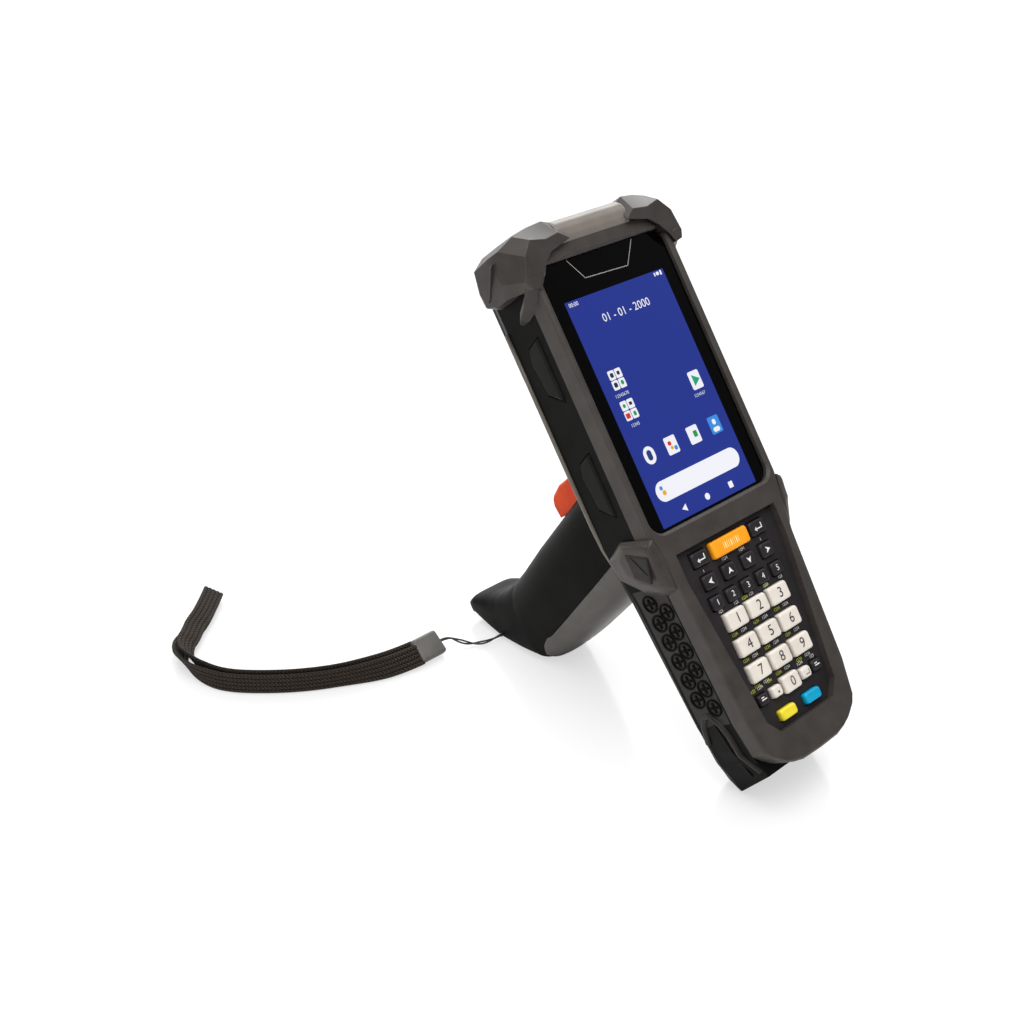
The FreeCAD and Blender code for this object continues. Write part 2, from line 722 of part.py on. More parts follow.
def make_grip_pad():
    pad = new_body("grip_pad")
    add_grip_loft(pad)
    cut(pad, seam_line() + [("-100", "-case_deep - 90"), ("-100", "-case_deep - 130"),
                            ("20", "-case_deep - 130"), ("20", "10"), ("-100", "10"),
                            ("-100", "-case_deep - 9")], "-40", "40", "YZ_Plane")
    return pad


def make_trigger():
    trigger = new_body("trigger")
    side = [("-15.8", "-pivot_deep + 3"), ("-14.8", "-55"), ("-15.2", "-66"), ("-16.7", "-74"),
            ("-19.5", "-79.2"), ("-24.4", "-80.9"), ("-30.2", "-80.2"), ("-28", "-68"), ("-25.5", "-56"),
            ("-pivot_up - hub_radius", "-pivot_deep")]
    slab(trigger, side, "-trigger_half", "trigger_half", "YZ_Plane")
    slab(trigger, ("-pivot_up", "-pivot_deep", "hub_radius"), "-trigger_half", "trigger_half", "YZ_Plane")
    hinge_level = -number("pivot_deep")
    soften(trigger, "2.2", lambda edge: all(p.y > -19.6 and p.z < hinge_level for p in ends(edge))
           and abs(ends(edge)[0].x - ends(edge)[1].x) < 0.1)
    cut(trigger, ("-pivot_up", "-pivot_deep", "pin_radius + pin_clear"), "-trigger_half - 1",
        "trigger_half + 1", "YZ_Plane")
    return trigger


def make_trigger_pin():
    pin = new_body("trigger_pin")
    slab(pin, ("-pivot_up", "-pivot_deep", "pin_radius"), "-trigger_half - trigger_gap - pin_hold",
         "trigger_half + trigger_gap + pin_hold", "YZ_Plane")
    return pin


def post_place():
    """Side view of the lanyard post, a little above the floor near the front of the base."""
    along, up = floor_along("post_along")
    return along + " + post_up*sin(stand_angle*1deg)", up + " + post_up*cos(stand_angle*1deg)"


def make_lanyard_post():
    post = new_body("lanyard_post")
    slab(post, post_place() + ("post_radius",), "-post_reach", "-post_reach + post_long", "YZ_Plane")
    return post


def make_trigger_switch():
    switch = new_body("trigger_switch")
    slab(switch, [("-31.3", "-60"), ("-31.3", "-67"), ("-33.1", "-67"), ("-33.1", "-60")],
         "-4", "4", "YZ_Plane")
    return switch


# Placement that stands the terminal up, with the middle of the grip's flat base at the origin
lean = math.radians(number("stand_angle"))
floor_drop = number("foot_low") * math.sin(lean) + number("foot_deep") * math.cos(lean)
base_middle = 63.5
standing = FreeCAD.Placement(Vector(0, -base_middle, floor_drop),
                             FreeCAD.Rotation(Vector(1, 0, 0), number("stand_angle")))


def make_screws():
    depth = -number("case_deep") + number("screw_sink")
    places = [Vector(number(across), number(up), depth) for across, up in screw_places()]
    solids = [Part.makeCylinder(number("screw_radius"), number("screw_long"), place) for place in places]
    group = doc.addObject("Part::Feature", "case_screws")
    group.Label = "case_screws"
    group.Shape = Part.makeCompound(solids)
    return group


# Lanyard: a thin cord from the grip's bar to a clip, then a flat wrist strap doubled back on itself
STRING_ROUTE = [(-16.5, 11.8, 3.2), (-20.5, 11.8, 3.2), (-24.6, 13.8, 1.9), (-29.2, 18.2, 1.0),
                (-33.4, 22.6, 2.6), (-37.4, 25.4, 5.3), (-42.3, 25.4, 5.3)]
STRAP_ROUTE = [(-56.3, 25.4), (-67.5, 26.3), (-82.0, 31.2), (-100.5, 40.6), (-115.5, 51.8), (-125.2, 61.4),
               (-129.8, 73.6), (-129.4, 90.0), (-124.8, 107.0), (-113.0, 122.6), (-100.2, 135.4),
               (-88.5, 146.8)]
LIMP_ARC = 0.45
STRING_SIDES = 8


def smooth_path(points, name):
    """Straight runs joined by tangent arcs, each as large as its two runs allow."""
    edges = []
    start = points[0]
    radii = []
    for before, corner, after in zip(points, points[1:], points[2:]):
        back, ahead = before - corner, after - corner
        half_turn = (math.pi - back.getAngle(ahead)) / 2
        setback = LIMP_ARC * min(back.Length, ahead.Length)
        radii.append(setback / math.tan(half_turn))
        back.normalize()
        ahead.normalize()
        entry, leave = corner + back * setback, corner + ahead * setback
        middle = back + ahead
        middle.normalize()
        centre = corner + middle * (radii[-1] / math.cos(half_turn))
        top = centre - middle * radii[-1]
        edges.append(Part.LineSegment(start, entry).toShape())
        edges.append(Part.Arc(entry, top, leave).toShape())
        start = leave
    edges.append(Part.LineSegment(start, points[-1]).toShape())
    print(name, "radii", [round(radius, 1) for radius in radii])
    return Part.Wire(edges)


def make_string():
    path = smooth_path([Vector(*point) for point in STRING_ROUTE], "lanyard_string")
    radius = number("string_thick") / 2
    direction = path.Edges[0].tangentAt(path.Edges[0].FirstParameter)
    round_edge = Part.makeCircle(radius, Vector(*STRING_ROUTE[0]), direction)
    corners = round_edge.discretize(STRING_SIDES + 1)
    ring = Part.makePolygon(corners)
    solid = path.makePipeShell([ring], True, False)
    print("lanyard_string volume ratio", solid.Volume / (Part.Face(ring).Area * path.Length))
    item = doc.addObject("Part::Feature", "lanyard_string")
    item.Label = "lanyard_string"
    item.Shape = solid
    return item


def make_strap():
    path = smooth_path([Vector(*point, 0) for point in STRAP_ROUTE], "lanyard_strap")
    outer = path.makeOffset2D(number("(strap_gap + strap_thick)/2"), 0, False, False)
    inner = path.makeOffset2D(number("(strap_gap - strap_thick)/2"), 0, False, False)
    ribbon = Part.Face(outer).cut(Part.Face(inner))
    solid = ribbon.extrude(Vector(0, 0, number("strap_high")))
    side = 2 * number("strap_high")
    end_along, end_across = STRAP_ROUTE[0]
    near_end = Part.makeBox(side, side, side, Vector(end_along, end_across - side / 2, -side / 4))
    item = doc.addObject("Part::Feature", "lanyard_strap")
    item.Label = "lanyard_strap"
    item.Shape = solid.cut(near_end).Solids[0]
    print("lanyard_strap length", 2 * path.Length)
    return item


def make_clip():
    """A plate that lies across the end of the strap, tipped on one long edge."""
    clip = new_body("lanyard_clip")
    slab(clip, rectangle("0", "0", "clip_wide", "clip_thick"), "0", "clip_long", "YZ_Plane")
    soften(clip, "clip_edge", lambda edge: True, "Chamfer")
    tilt = math.radians(number("clip_tilt"))
    corner_drop = (number("clip_wide") * math.sin(tilt) + number("clip_thick") * math.cos(tilt)) / 2
    clip.Placement = FreeCAD.Placement(Vector(*STRAP_ROUTE[0], corner_drop),
                                       FreeCAD.Rotation(Vector(1, 0, 0), number("clip_tilt")))
    return clip


# Every sub-part, drawn lying and then stood up; the lanyard is already on the floor
made = [make_front_frame(), make_display_glass(), make_display_module(), make_rear_housing(),
        make_keypad_plate(), make_keypad_mat(), make_top_cap(), make_scan_window(), make_scan_engine(),
        make_main_board(), make_battery_pack(), make_battery_latch(), make_grip_shell(), make_grip_pad(),
        make_trigger(), make_trigger_pin(), make_trigger_switch(), make_lanyard_post(), make_screws()]
for name, side in (("left", -1), ("right", 1)):
    made.append(make_top_bumper("top_bumper_" + name, side))
    made.append(make_mid_bumper("mid_bumper_" + name, side))
    made.append(make_side_key("side_button_%s_upper" % name, side, "side_key_upper"))
    made.append(make_side_key("side_button_%s_lower" % name, side, "-side_key_lower"))
made += [make_key(*row) for row in key_table()]
doc.recompute()
for item in made:
    item.Placement = standing
lying = [make_string(), make_strap(), make_clip()]
doc.recompute()

for item in doc.Objects:
    if "Invalid" in item.State or "Error" in item.State:
        raise ValueError("%s failed: %s" % (item.Label, item.State))
os.makedirs("parts", exist_ok=True)
for item in made + lying:
    if item.Shape.isNull() or not item.Shape.isValid():
        raise ValueError("%s has no valid shape" % item.Label)
    item.Shape.exportStep("parts/%s.step" % item.Label)
print(len(made + lying), "sub-parts")
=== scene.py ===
import bmesh
import bpy
import json
import numpy as np
from math import cos, pi, radians, sin, tan
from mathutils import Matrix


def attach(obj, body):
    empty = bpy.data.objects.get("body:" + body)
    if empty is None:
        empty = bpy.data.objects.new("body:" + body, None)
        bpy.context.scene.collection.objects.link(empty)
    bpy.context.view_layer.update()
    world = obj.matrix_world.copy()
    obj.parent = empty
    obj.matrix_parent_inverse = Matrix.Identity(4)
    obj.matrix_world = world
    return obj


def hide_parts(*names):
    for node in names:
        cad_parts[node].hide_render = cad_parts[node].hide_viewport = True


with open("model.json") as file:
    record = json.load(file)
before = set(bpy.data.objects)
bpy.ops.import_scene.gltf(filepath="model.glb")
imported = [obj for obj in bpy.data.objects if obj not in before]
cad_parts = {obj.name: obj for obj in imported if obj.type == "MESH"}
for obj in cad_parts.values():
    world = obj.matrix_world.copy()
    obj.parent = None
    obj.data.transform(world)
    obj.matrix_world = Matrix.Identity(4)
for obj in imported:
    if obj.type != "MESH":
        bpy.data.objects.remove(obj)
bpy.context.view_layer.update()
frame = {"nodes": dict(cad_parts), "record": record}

# Camera and exposure: a 53 mm lens a little over half a metre from the display, to the terminal's left.
# It looks down by 29 degrees, and the picture is shown without a film curve.
def add_object(name, data):
    """An object of this name and data, linked to the scene."""
    made = bpy.data.objects.new(name, data)
    bpy.context.scene.collection.objects.link(made)
    return made


camera = add_object("camera", bpy.data.cameras.new("camera"))
camera.data.lens = 52.73
camera.data.sensor_width = 36
camera.location = (-0.4127, -0.4076, 0.39043)
camera.rotation_euler = (radians(60.81), 0, radians(-43.87))
bpy.context.scene.camera = camera
bpy.context.scene.view_settings.view_transform = "Standard"


# Wrist strap: braided polyester tape, doubled back on itself and standing on its edge on the floor.
# The loop's two ends are moulded into the clip, where the tape leans over with the clip.
STRAP_ROUTE = np.array([(-55.3, 25.4), (-67.5, 26.3), (-82.0, 31.2), (-100.5, 40.6), (-115.5, 51.8),
                        (-130.3, 67.1), (-133.8, 79.8), (-131.4, 93.5), (-126.1, 100.6), (-120.6, 103.6),
                        (-117.4, 106.3), (-113.0, 110.4), (-107.2, 114.1), (-98.8, 121.1),
                        (-91.3, 128.0)]) / 1000
LEG_APART = 0.0037
BEND_SHARE = 0.55
TAPE_HIGH = 0.0098
TAPE_THICK = 0.0014
TAPE_POINTS = 80
RIBS = 5
STITCHES = 110
STRAP_STEP = 0.0008
FLOOR_GAP = 0.0002
CLIP_LEAN = radians(46)
LEAN_REACH = 0.042
TIP_LEAN = radians(64)
TIP_LEAN_RUN = (0.088, 0.138)


def linear(code):
    """sRGB hex to linear red, green, blue and alpha."""
    parts = [int(code[i:i + 2], 16) / 255 for i in (1, 3, 5)]
    return [c / 12.92 if c <= 0.04045 else ((c + 0.055) / 1.055) ** 2.4 for c in parts] + [1]


def add_node(tree, kind, feeds=(), **settings):
    """Adds a node; settings name its properties or inputs, and feeds are (input, output socket or value)."""
    node = tree.nodes.new("ShaderNode" + kind)
    for name, value in settings.items():
        if hasattr(node, name):
            setattr(node, name, value)
        else:
            node.inputs[name.replace("_", " ")].default_value = value
    for socket, source in feeds:
        if isinstance(source, bpy.types.NodeSocket):
            tree.links.new(source, node.inputs[socket])
        else:
            node.inputs[socket].default_value = source
    return node


def new_material(name):
    """A named node material with nothing in it, and its node tree."""
    material = bpy.data.materials.new(name)
    material.use_nodes = True
    material.node_tree.nodes.clear()
    return material, material.node_tree


def coated(material, feeds=(), **settings):
    """Gives a material its surface: a principled shader that feeds the output."""
    tree = material.node_tree
    shader = add_node(tree, "BsdfPrincipled", feeds, **settings)
    add_node(tree, "OutputMaterial", [(0, shader.outputs[0])])
    return material


def two_tones(tree, factor, low, high, start, end):
    """Colour ramp between two hex colours that stand at the places start and end."""
    ramp = add_node(tree, "ValToRGB", [("Fac", factor)])
    for element, place, code in zip(ramp.color_ramp.elements, (start, end), (low, high)):
        element.position = place
        element.color = linear(code)
    return ramp.outputs[0]


def new_object(name, points, faces):
    """A mesh object from its points and faces."""
    mesh = bpy.data.meshes.new(name)
    mesh.from_pydata(np.asarray(points, float).tolist(), [], faces)
    return add_object(name, mesh)


def face_outward(piece):
    """Turns every face's normal to the outside."""
    worked = bmesh.new()
    worked.from_mesh(piece.data)
    bmesh.ops.recalc_face_normals(worked, faces=worked.faces)
    worked.to_mesh(piece.data)
    worked.free()


def quads(index):
    """Faces between the neighbouring rows and columns of a table of point numbers."""
    corners = [index[:-1, :-1], index[:-1, 1:], index[1:, 1:], index[1:, :-1]]
    return np.stack(corners, -1).reshape(-1, 4).tolist()


def grid_piece(name, grid, smooth=True):
    """Closed tube through rows of points; the UV map runs 0 to 1 along the rows and around them."""
    rows, columns = grid.shape[:2]
    index = np.arange(rows * columns).reshape(rows, columns)
    faces = quads(np.hstack([index, index[:, :1]])) + [index[0, ::-1].tolist(), index[-1].tolist()]
    piece = new_object(name, grid.reshape(-1, 3), faces)
    face_outward(piece)
    mesh = piece.data
    mesh.polygons.foreach_set("use_smooth", [smooth] * len(mesh.polygons))
    corners = np.empty(len(mesh.loops), int)
    mesh.loops.foreach_get("vertex_index", corners)
    place = np.stack([(corners // columns) / rows, (corners % columns) / columns], -1)
    mesh.uv_layers.new(name="UVMap").data.foreach_set("uv", place.ravel())
    return piece


def dress(piece, body, slot, material, *nodes):
    """Gives a piece its material and its body, and hides the CAD nodes that it stands for; the slot is not
    used.
    """
    piece.data.materials.append(material)
    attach(piece, body)
    if nodes:
        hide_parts(*nodes)
    return piece


def spline_points(name, points):
    """Points read from a NURBS spline of order 3 that has these control points."""
    curve = bpy.data.curves.new(name, "CURVE")
    curve.dimensions = "3D"
    spline = curve.splines.new("NURBS")
    spline.points.add(len(points) - 1)
    spline.points.foreach_set("co", np.hstack([points, np.ones((len(points), 1))]).ravel())
    spline.order_u = 3
    spline.use_endpoint_u = True
    holder = add_object(name, curve)
    line = bpy.data.meshes.new_from_object(holder)
    read = np.empty(len(line.vertices) * 3)
    line.vertices.foreach_get("co", read)
    bpy.data.objects.remove(holder)
    return read.reshape(-1, 3)


def evenly(points, step):
    """The same line with its points at an even distance, and its length."""
    lengths = np.linalg.norm(np.diff(points, axis=0), axis=1)
    run = np.concatenate([[0], np.cumsum(lengths)])
    wanted = np.linspace(0, run[-1], int(run[-1] / step) + 2)
    return np.stack([np.interp(wanted, run, points[:, axis]) for axis in range(3)], -1), run[-1]


def moving_frame(path):
    """Unit vectors along the path, sideways on the level and across both, at each of its points."""
    along = np.gradient(path, axis=0)
    along /= np.linalg.norm(along, axis=1, keepdims=True)
    side = np.cross([0, 0, 1.0], along)
    side /= np.linalg.norm(side, axis=1, keepdims=True)
    return along, side, np.cross(along, side)


def strap_control():
    """One leg beside the route, a tight turn past its end, and the other leg back."""
    step = np.gradient(STRAP_ROUTE, axis=0)
    step /= np.linalg.norm(step, axis=1, keepdims=True)
    aside = np.stack([-step[:, 1], step[:, 0]], -1) * LEG_APART / 2
    tip = STRAP_ROUTE[-1] + step[-1] * LEG_APART * BEND_SHARE
    level = np.vstack([STRAP_ROUTE + aside, tip + aside[-1], tip - aside[-1], (STRAP_ROUTE - aside)[::-1]])
    return np.hstack([level, np.full((len(level), 1), TAPE_HIGH / 2 + FLOOR_GAP)])


def make_braid():
    """Braided polyester: five plaits of brown-black yarn a side, each stitched in slanted rows, with painted
    shade darkening the gaps between the plaits.
    """
    material, tree = new_material("braided_polyester")
    place = add_node(tree, "SeparateXYZ", [("Vector", add_node(tree, "UVMap", uv_map="UVMap").outputs[0])])
    plait = add_node(tree, "Math", [(0, place.outputs["Y"]), (1, 2 * RIBS)], operation="MULTIPLY")
    ridge = add_node(tree, "Math", [(0, plait.outputs[0]), (1, 0.5)], operation="PINGPONG")
    # Painted shade: the colour drops towards black in the gaps between the plaits, where the creases would be
    # shaded.
    plait_gap_shade = add_node(tree, "MapRange", [("Value", ridge.outputs[0])], interpolation_type="SMOOTHSTEP",
                      From_Max=0.26, To_Min=0.12, To_Max=1.0)
    stitch = add_node(tree, "Math", [(0, place.outputs["X"]), (1, STITCHES), (2, ridge.outputs[0])],
                      operation="MULTIPLY_ADD")
    row = add_node(tree, "CombineXYZ", [("X", stitch.outputs[0]), ("Y", plait.outputs[0])])
    weave = add_node(tree, "TexWave", [("Vector", row.outputs[0])], Scale=0.6, Distortion=1.2, Detail=1.0)
    lit = add_node(tree, "Math", [(0, weave.outputs["Fac"]), (1, plait_gap_shade.outputs[0])], operation="MULTIPLY")
    colour = two_tones(tree, lit.outputs[0], "#070606", "#463b32", 0, 0.85)
    bump = add_node(tree, "Bump", [("Height", lit.outputs[0])], Strength=0.8, Distance=0.0004)
    return coated(material, [("Base Color", colour), ("Normal", bump.outputs[0])], Roughness=0.8,
                  Specular_IOR_Level=0.12, Sheen_Weight=0.05)


def smoothstep(share):
    """3 s^2 - 2 s^3, with the share s held between 0 and 1."""
    held = np.clip(share, 0, 1)
    return held ** 2 * (3 - 2 * held)


def tape_surface(path, length):
    """Closed section of a tape with RIBS = 5 lengthwise ribs, swept along the path.
    Across the tape s = |2 - 4 u| - 1 and t = sign(0.5 - u)(1 - s^8)^0.25 (0.55 + 0.45 |cos 2.5 pi s|^0.7);
    the section leans by CLIP_LEAN at the clip and stands upright beyond LEAN_REACH."""
    along, side, _ = moving_frame(path)
    run = np.linspace(0, length, len(path))
    lean = CLIP_LEAN * smoothstep(1 - np.minimum(run, length - run) / LEAN_REACH)
    far = side * np.where(run < length / 2, -1, 1)[:, None]
    up = np.array([0, 0, 1.0]) * np.cos(lean)[:, None] + far * np.sin(lean)[:, None]
    outward = np.cross(along, up)
    around = np.linspace(0, 1, TAPE_POINTS, endpoint=False)
    across = np.abs(2 - 4 * around) - 1
    ribs = 0.55 + 0.45 * np.abs(np.cos(RIBS / 2 * pi * across)) ** 0.7
    thick = np.sign(0.5 - around) * (1 - across ** 8) ** 0.25 * ribs
    return (path[:, None] + outward[:, None] * (thick * TAPE_THICK / 2)[None, :, None]
            + up[:, None] * (across * TAPE_HIGH / 2)[None, :, None])


def lay_over(points):
    """Leans the doubled tape to its left past the bend by an angle t that grows along TIP_LEAN_RUN.
    With k half the stack's thickness, a point a to the left of the route and h high goes to
    a cos t + h sin t and h cos t + (k - a) sin t."""
    route, length = evenly(spline_points("strap_route", np.pad(STRAP_ROUTE, ((0, 0), (0, 1)))), STRAP_STEP)
    step = np.gradient(route[:, :2], axis=0)
    step /= np.linalg.norm(step, axis=1, keepdims=True)
    flat = points.reshape(-1, 3)
    near = ((flat[:, None, :2] - route[None, :, :2]) ** 2).sum(-1).argmin(1)
    left = np.stack([-step[near, 1], step[near, 0]], -1)
    aside = ((flat[:, :2] - route[near, :2]) * left).sum(-1)
    start, end = TIP_LEAN_RUN
    turn = TIP_LEAN * smoothstep((near / len(route) * length - start) / (end - start))
    half_stack = LEG_APART / 2 + TAPE_THICK / 2
    moved = aside * np.cos(turn) + flat[:, 2] * np.sin(turn)
    height = flat[:, 2] * np.cos(turn) + (half_stack - aside) * np.sin(turn)
    laid = np.hstack([flat[:, :2] + left * (moved - aside)[:, None], height[:, None]])
    return laid.reshape(points.shape)


strap_path, strap_length = evenly(spline_points("strap_line", strap_control()), STRAP_STEP)
strap = grid_piece("wrist_strap", lay_over(tape_surface(strap_path, strap_length)))
dress(strap, "case", "strap_web", make_braid(), "lanyard_strap")


# Lanyard cord: one thin nylon strand, doubled, knotted round the post in the grip's base.
# Its two halves part and cross like a slack twist on the way to the clip.
STRING_ROUTE = np.array([(-16.5, 11.8, 3.2), (-20.5, 11.8, 3.2), (-24.6, 13.8, 1.9), (-29.2, 18.2, 1.0),
                         (-33.4, 22.6, 2.6), (-37.4, 25.4, 5.3), (-43.3, 25.4, 5.3)]) / 1000
STRAND_RADIUS = 0.00042
STRAND_OFFSET = (0.00035, 0.001)
STRAND_TURNS = 1.5
STRING_STEP = 0.0004


def object_noise(tree, scale, detail=2):
    """Noise of one scale in the object's own space."""
    place = add_node(tree, "TexCoord")
    noise = add_node(tree, "TexNoise", [("Vector", place.outputs["Object"])], Scale=scale, Detail=detail)
    return noise.outputs[0]


def make_twine():
    """Twisted nylon: dark strands with a fine fuzzy surface."""
    material, tree = new_material("twisted_nylon_twine")
    bump = add_node(tree, "Bump", [("Height", object_noise(tree, 4000))], Strength=0.4, Distance=0.0001)
    return coated(material, [("Normal", bump.outputs[0])], Base_Color=linear("#211e1c"), Roughness=0.6,
                  Sheen_Weight=0.1)


def swept(line, first, second, count):
    """Ellipses round the points of a line, whose half axes are the two vectors given at each point:
    p + a cos t + b sin t."""
    turn = np.linspace(0, 2 * pi, count, endpoint=False)[:, None]
    return line[:, None] + np.cos(turn) * first[:, None] + np.sin(turn) * second[:, None]


def strand_surface(path, sign):
    """Round tube that winds about the path: its offset swells from the ends to the middle."""
    _, side, rise = moving_frame(path)
    run = np.linspace(0, 1, len(path))
    ends, most = STRAND_OFFSET
    swing = sign * (ends + (most - ends) * np.sin(pi * run) ** 2)
    twist = 2 * pi * STRAND_TURNS * run
    middle = path + side * (swing * np.cos(twist))[:, None] + rise * (swing * 0.4 * np.sin(twist))[:, None]
    return swept(middle, side * STRAND_RADIUS, rise * STRAND_RADIUS, 12)


def join(piece, *others):
    """Moves the faces of the others into the first piece's mesh."""
    worked = bmesh.new()
    for source in (piece,) + others:
        worked.from_mesh(source.data)
    worked.to_mesh(piece.data)
    worked.free()
    for other in others:
        bpy.data.objects.remove(other)
    return piece


string_path, string_length = evenly(spline_points("string_line", STRING_ROUTE), STRING_STEP)
string = join(grid_piece("lanyard_twine", strand_surface(string_path, -1)),
              grid_piece("lanyard_twine_half", strand_surface(string_path, 1)))
dress(string, "case", "string_cord", make_twine(), "lanyard_string")


# Lanyard clip: grey nylon moulded over the ends of the strap, with its edges eased by the mould.
# It lies on one long edge, as its cord holds it.
WELD = 2e-6
ONE_FACE = radians(1.2)


def eased(node, width, slot, material, segments=3, angle=22, rounding=(), reshape=None):
    """A copy of a CAD node with its faces joined, its edges bevelled and its flat faces kept flat.
    reshape, if given, works on the copy first, and rounding holds (test of an edge, radius in metres)
    pairs for edges that are rounded next."""
    bodies = frame["record"]["behaviour"]["bodies"]
    body = next(name for name, members in bodies.items() if node in members)
    worked = bmesh.new()
    worked.from_mesh(frame["nodes"][node].data)
    bmesh.ops.remove_doubles(worked, verts=worked.verts, dist=WELD)
    bmesh.ops.dissolve_limit(worked, angle_limit=ONE_FACE, verts=worked.verts, edges=worked.edges)
    if reshape:
        reshape(worked)
    for chosen, radius in rounding:
        bmesh.ops.bevel(worked, geom=[edge for edge in worked.edges if chosen(edge)], offset=radius,
                        segments=5, profile=0.5, affect="EDGES", clamp_overlap=True)
    mesh = bpy.data.meshes.new(node + "_moulded")
    worked.to_mesh(mesh)
    worked.free()
    piece = add_object(node + "_moulded", mesh)
    soften(piece, width, segments, angle)
    return dress(piece, body, slot, material, node)


def soften(piece, width, segments=3, angle=22):
    """Bevels the sharp edges and shades the faces between them flat."""
    bevel = piece.modifiers.new("eased", "BEVEL")
    bevel.width = width
    bevel.segments = segments
    bevel.limit_method = "ANGLE"
    bevel.angle_limit = radians(angle)
    bevel.harden_normals = True
    piece.data.polygons.foreach_set("use_smooth", [True] * len(piece.data.polygons))
    flat = piece.modifiers.new("flat", "WEIGHTED_NORMAL")
    flat.keep_sharp = True
    return piece


def moulded(name, low, high, roughness, grain, depth, shine=0.25):
    """Moulded polymer: two tones mottled together, with the grain of the mould's surface.
    grain is the size of one grain in metres, and shine the strength of the clear reflection."""
    material, tree = new_material(name)
    colour = two_tones(tree, object_noise(tree, 110, 3), low, high, 0.3, 0.75)
    bump = add_node(tree, "Bump", [("Height", object_noise(tree, 1 / grain))], Strength=depth,
                    Distance=grain * 0.3)
    return coated(material, [("Base Color", colour), ("Normal", bump.outputs[0])], Roughness=roughness,
                  Specular_IOR_Level=shine)


clip_nylon = moulded("grey_clip_nylon", "#5f5e5b", "#6d6c69", 0.4, 0.0003, 0.2)
eased("lanyard_clip", 0.0011, "clip_grey", clip_nylon)
lay_over(strap_path)[::4].tolist()


# Pistol grip: glass-filled polycarbonate shell with a rubber pad over the palm, joined along a raised seam.
# Its base flares forward into a toe, and its flat underside stands on the floor.
LEAN = radians(54.13)
UP_CASE = np.array([0, cos(LEAN), sin(LEAN)])
OUT_CASE = np.array([0, -sin(LEAN), cos(LEAN)])
DISPLAY_PLACE = np.array([0, -63.5, 144.334])
GRIP_DEPTH = [-29, -47, -71, -99, -123, -134, -141, -147, -153, -158, -161, -162.3]
GRIP_FRONT = [-8.5, -17.5, -27, -38, -48.2, -51.6, -52.2, -51.6, -50.2, -49.3, -50.4, -52.2]
GRIP_BACK = [-57, -64, -75.5, -84.2, -89.9, -93, -94.5, -95, -95, -95, -95, -95]
GRIP_HALF = [15.5, 16, 17.9, 18.5, 17.9, 17.0, 16.2, 15.6, 14.9, 14.2, 13.4, 12.6]
GRIP_LEVELS = 110
GRIP_POINTS = 112
GRIP_POWER = 2.7
TOE_POWER = 4.5
TOE_BAND = [126, 152]
HEEL_UP, HEEL_OUT = -157.5, -28.5
TOE_BACK, TOE_DEPTH, TOE_SLOPE = -72, -146.7, 19 / 15.5
ROUND_EDGE = 0.0024
PAD_BAND = (-38, -123)
SEAM = [(-51, -40), (-55.7, -52.6), (-63.0, -70.0), (-72.8, -95.8), (-77.2, -108), (-77.6, -112),
        (-80.5, -117), (-88, -124)]


def on_case(points):
    """Millimetres across, up and out of the case, its origin in the display's middle, to frame metres."""
    points = np.asarray(points, float)
    placed = points[..., :1] * [1, 0, 0] + points[..., 1:2] * UP_CASE + points[..., 2:3] * OUT_CASE
    return (placed + DISPLAY_PLACE) / 1000


def grip_profile():
    """Depth, half width, middle and half depth of the grip's section at each level, in case millimetres."""
    places = np.linspace(0, 1, len(GRIP_DEPTH))
    depth = np.interp(np.linspace(0, 1, GRIP_LEVELS), places, GRIP_DEPTH)
    rows = [np.interp(-depth, -np.array(GRIP_DEPTH, float), row) for row in (GRIP_FRONT, GRIP_BACK, GRIP_HALF)]
    window = np.hanning(9) / np.hanning(9).sum()
    padded = np.pad(np.stack(rows), ((0, 0), (6, 6)), mode="edge")
    front, back, half = [np.convolve(row, window, "same")[6:-6] for row in padded]
    along_floor = HEEL_UP + (HEEL_OUT - depth) / tan(LEAN)
    toe_under = TOE_BACK - (depth - TOE_DEPTH) * TOE_SLOPE
    lowest = np.where(depth > TOE_DEPTH, along_floor, toe_under)
    back = np.maximum(back, np.minimum(lowest - 3, front - 6))
    return depth, half, (front + back) / 2, (front - back) / 2


def grip_surface(profile, turns):
    """Superellipses x = h c^(2/p), v = m + d s^(2/p), with c and s the cosine and sine of each turn; the
    power p is GRIP_POWER over the grip and TOE_POWER in the toe, which has a flatter top.
    Near the floor z becomes (z + sqrt(z^2 + k^2)) / 2, which rounds the base's edge by k = ROUND_EDGE."""
    depth, half, middle, deep = profile
    power = 2 / np.interp(-depth, TOE_BAND, [GRIP_POWER, TOE_POWER])[:, None]
    across = half[:, None] * np.sign(np.cos(turns)) * np.abs(np.cos(turns)) ** power
    along = middle[:, None] + deep[:, None] * np.sign(np.sin(turns)) * np.abs(np.sin(turns)) ** power
    placed = on_case(np.stack(np.broadcast_arrays(across, along, depth[:, None]), -1))
    placed[..., 2] = (placed[..., 2] + np.sqrt(placed[..., 2] ** 2 + ROUND_EDGE ** 2)) / 2
    return placed


def palm_sheet():
    """Rows round the grip's back between the seam's two sides, from u = pi - a to 2 pi + a at each depth.
    The seam fixes a: sin a = sign(s)|s|^(p/2), with s the seam's place in the section and p = GRIP_POWER."""
    rows = [row[(grip[0] < PAD_BAND[0]) & (grip[0] > PAD_BAND[1])] for row in grip]
    seam = np.interp(-rows[0], [-depth for _, depth in SEAM], [along for along, _ in SEAM])
    place = np.clip((seam - rows[2]) / rows[3], -0.97, 0.97)
    start = np.arcsin(np.sign(place) * np.abs(place) ** (GRIP_POWER / 2))[:, None]
    return grip_surface(rows, pi - start + (pi + 2 * start) * np.linspace(0, 1, 64))


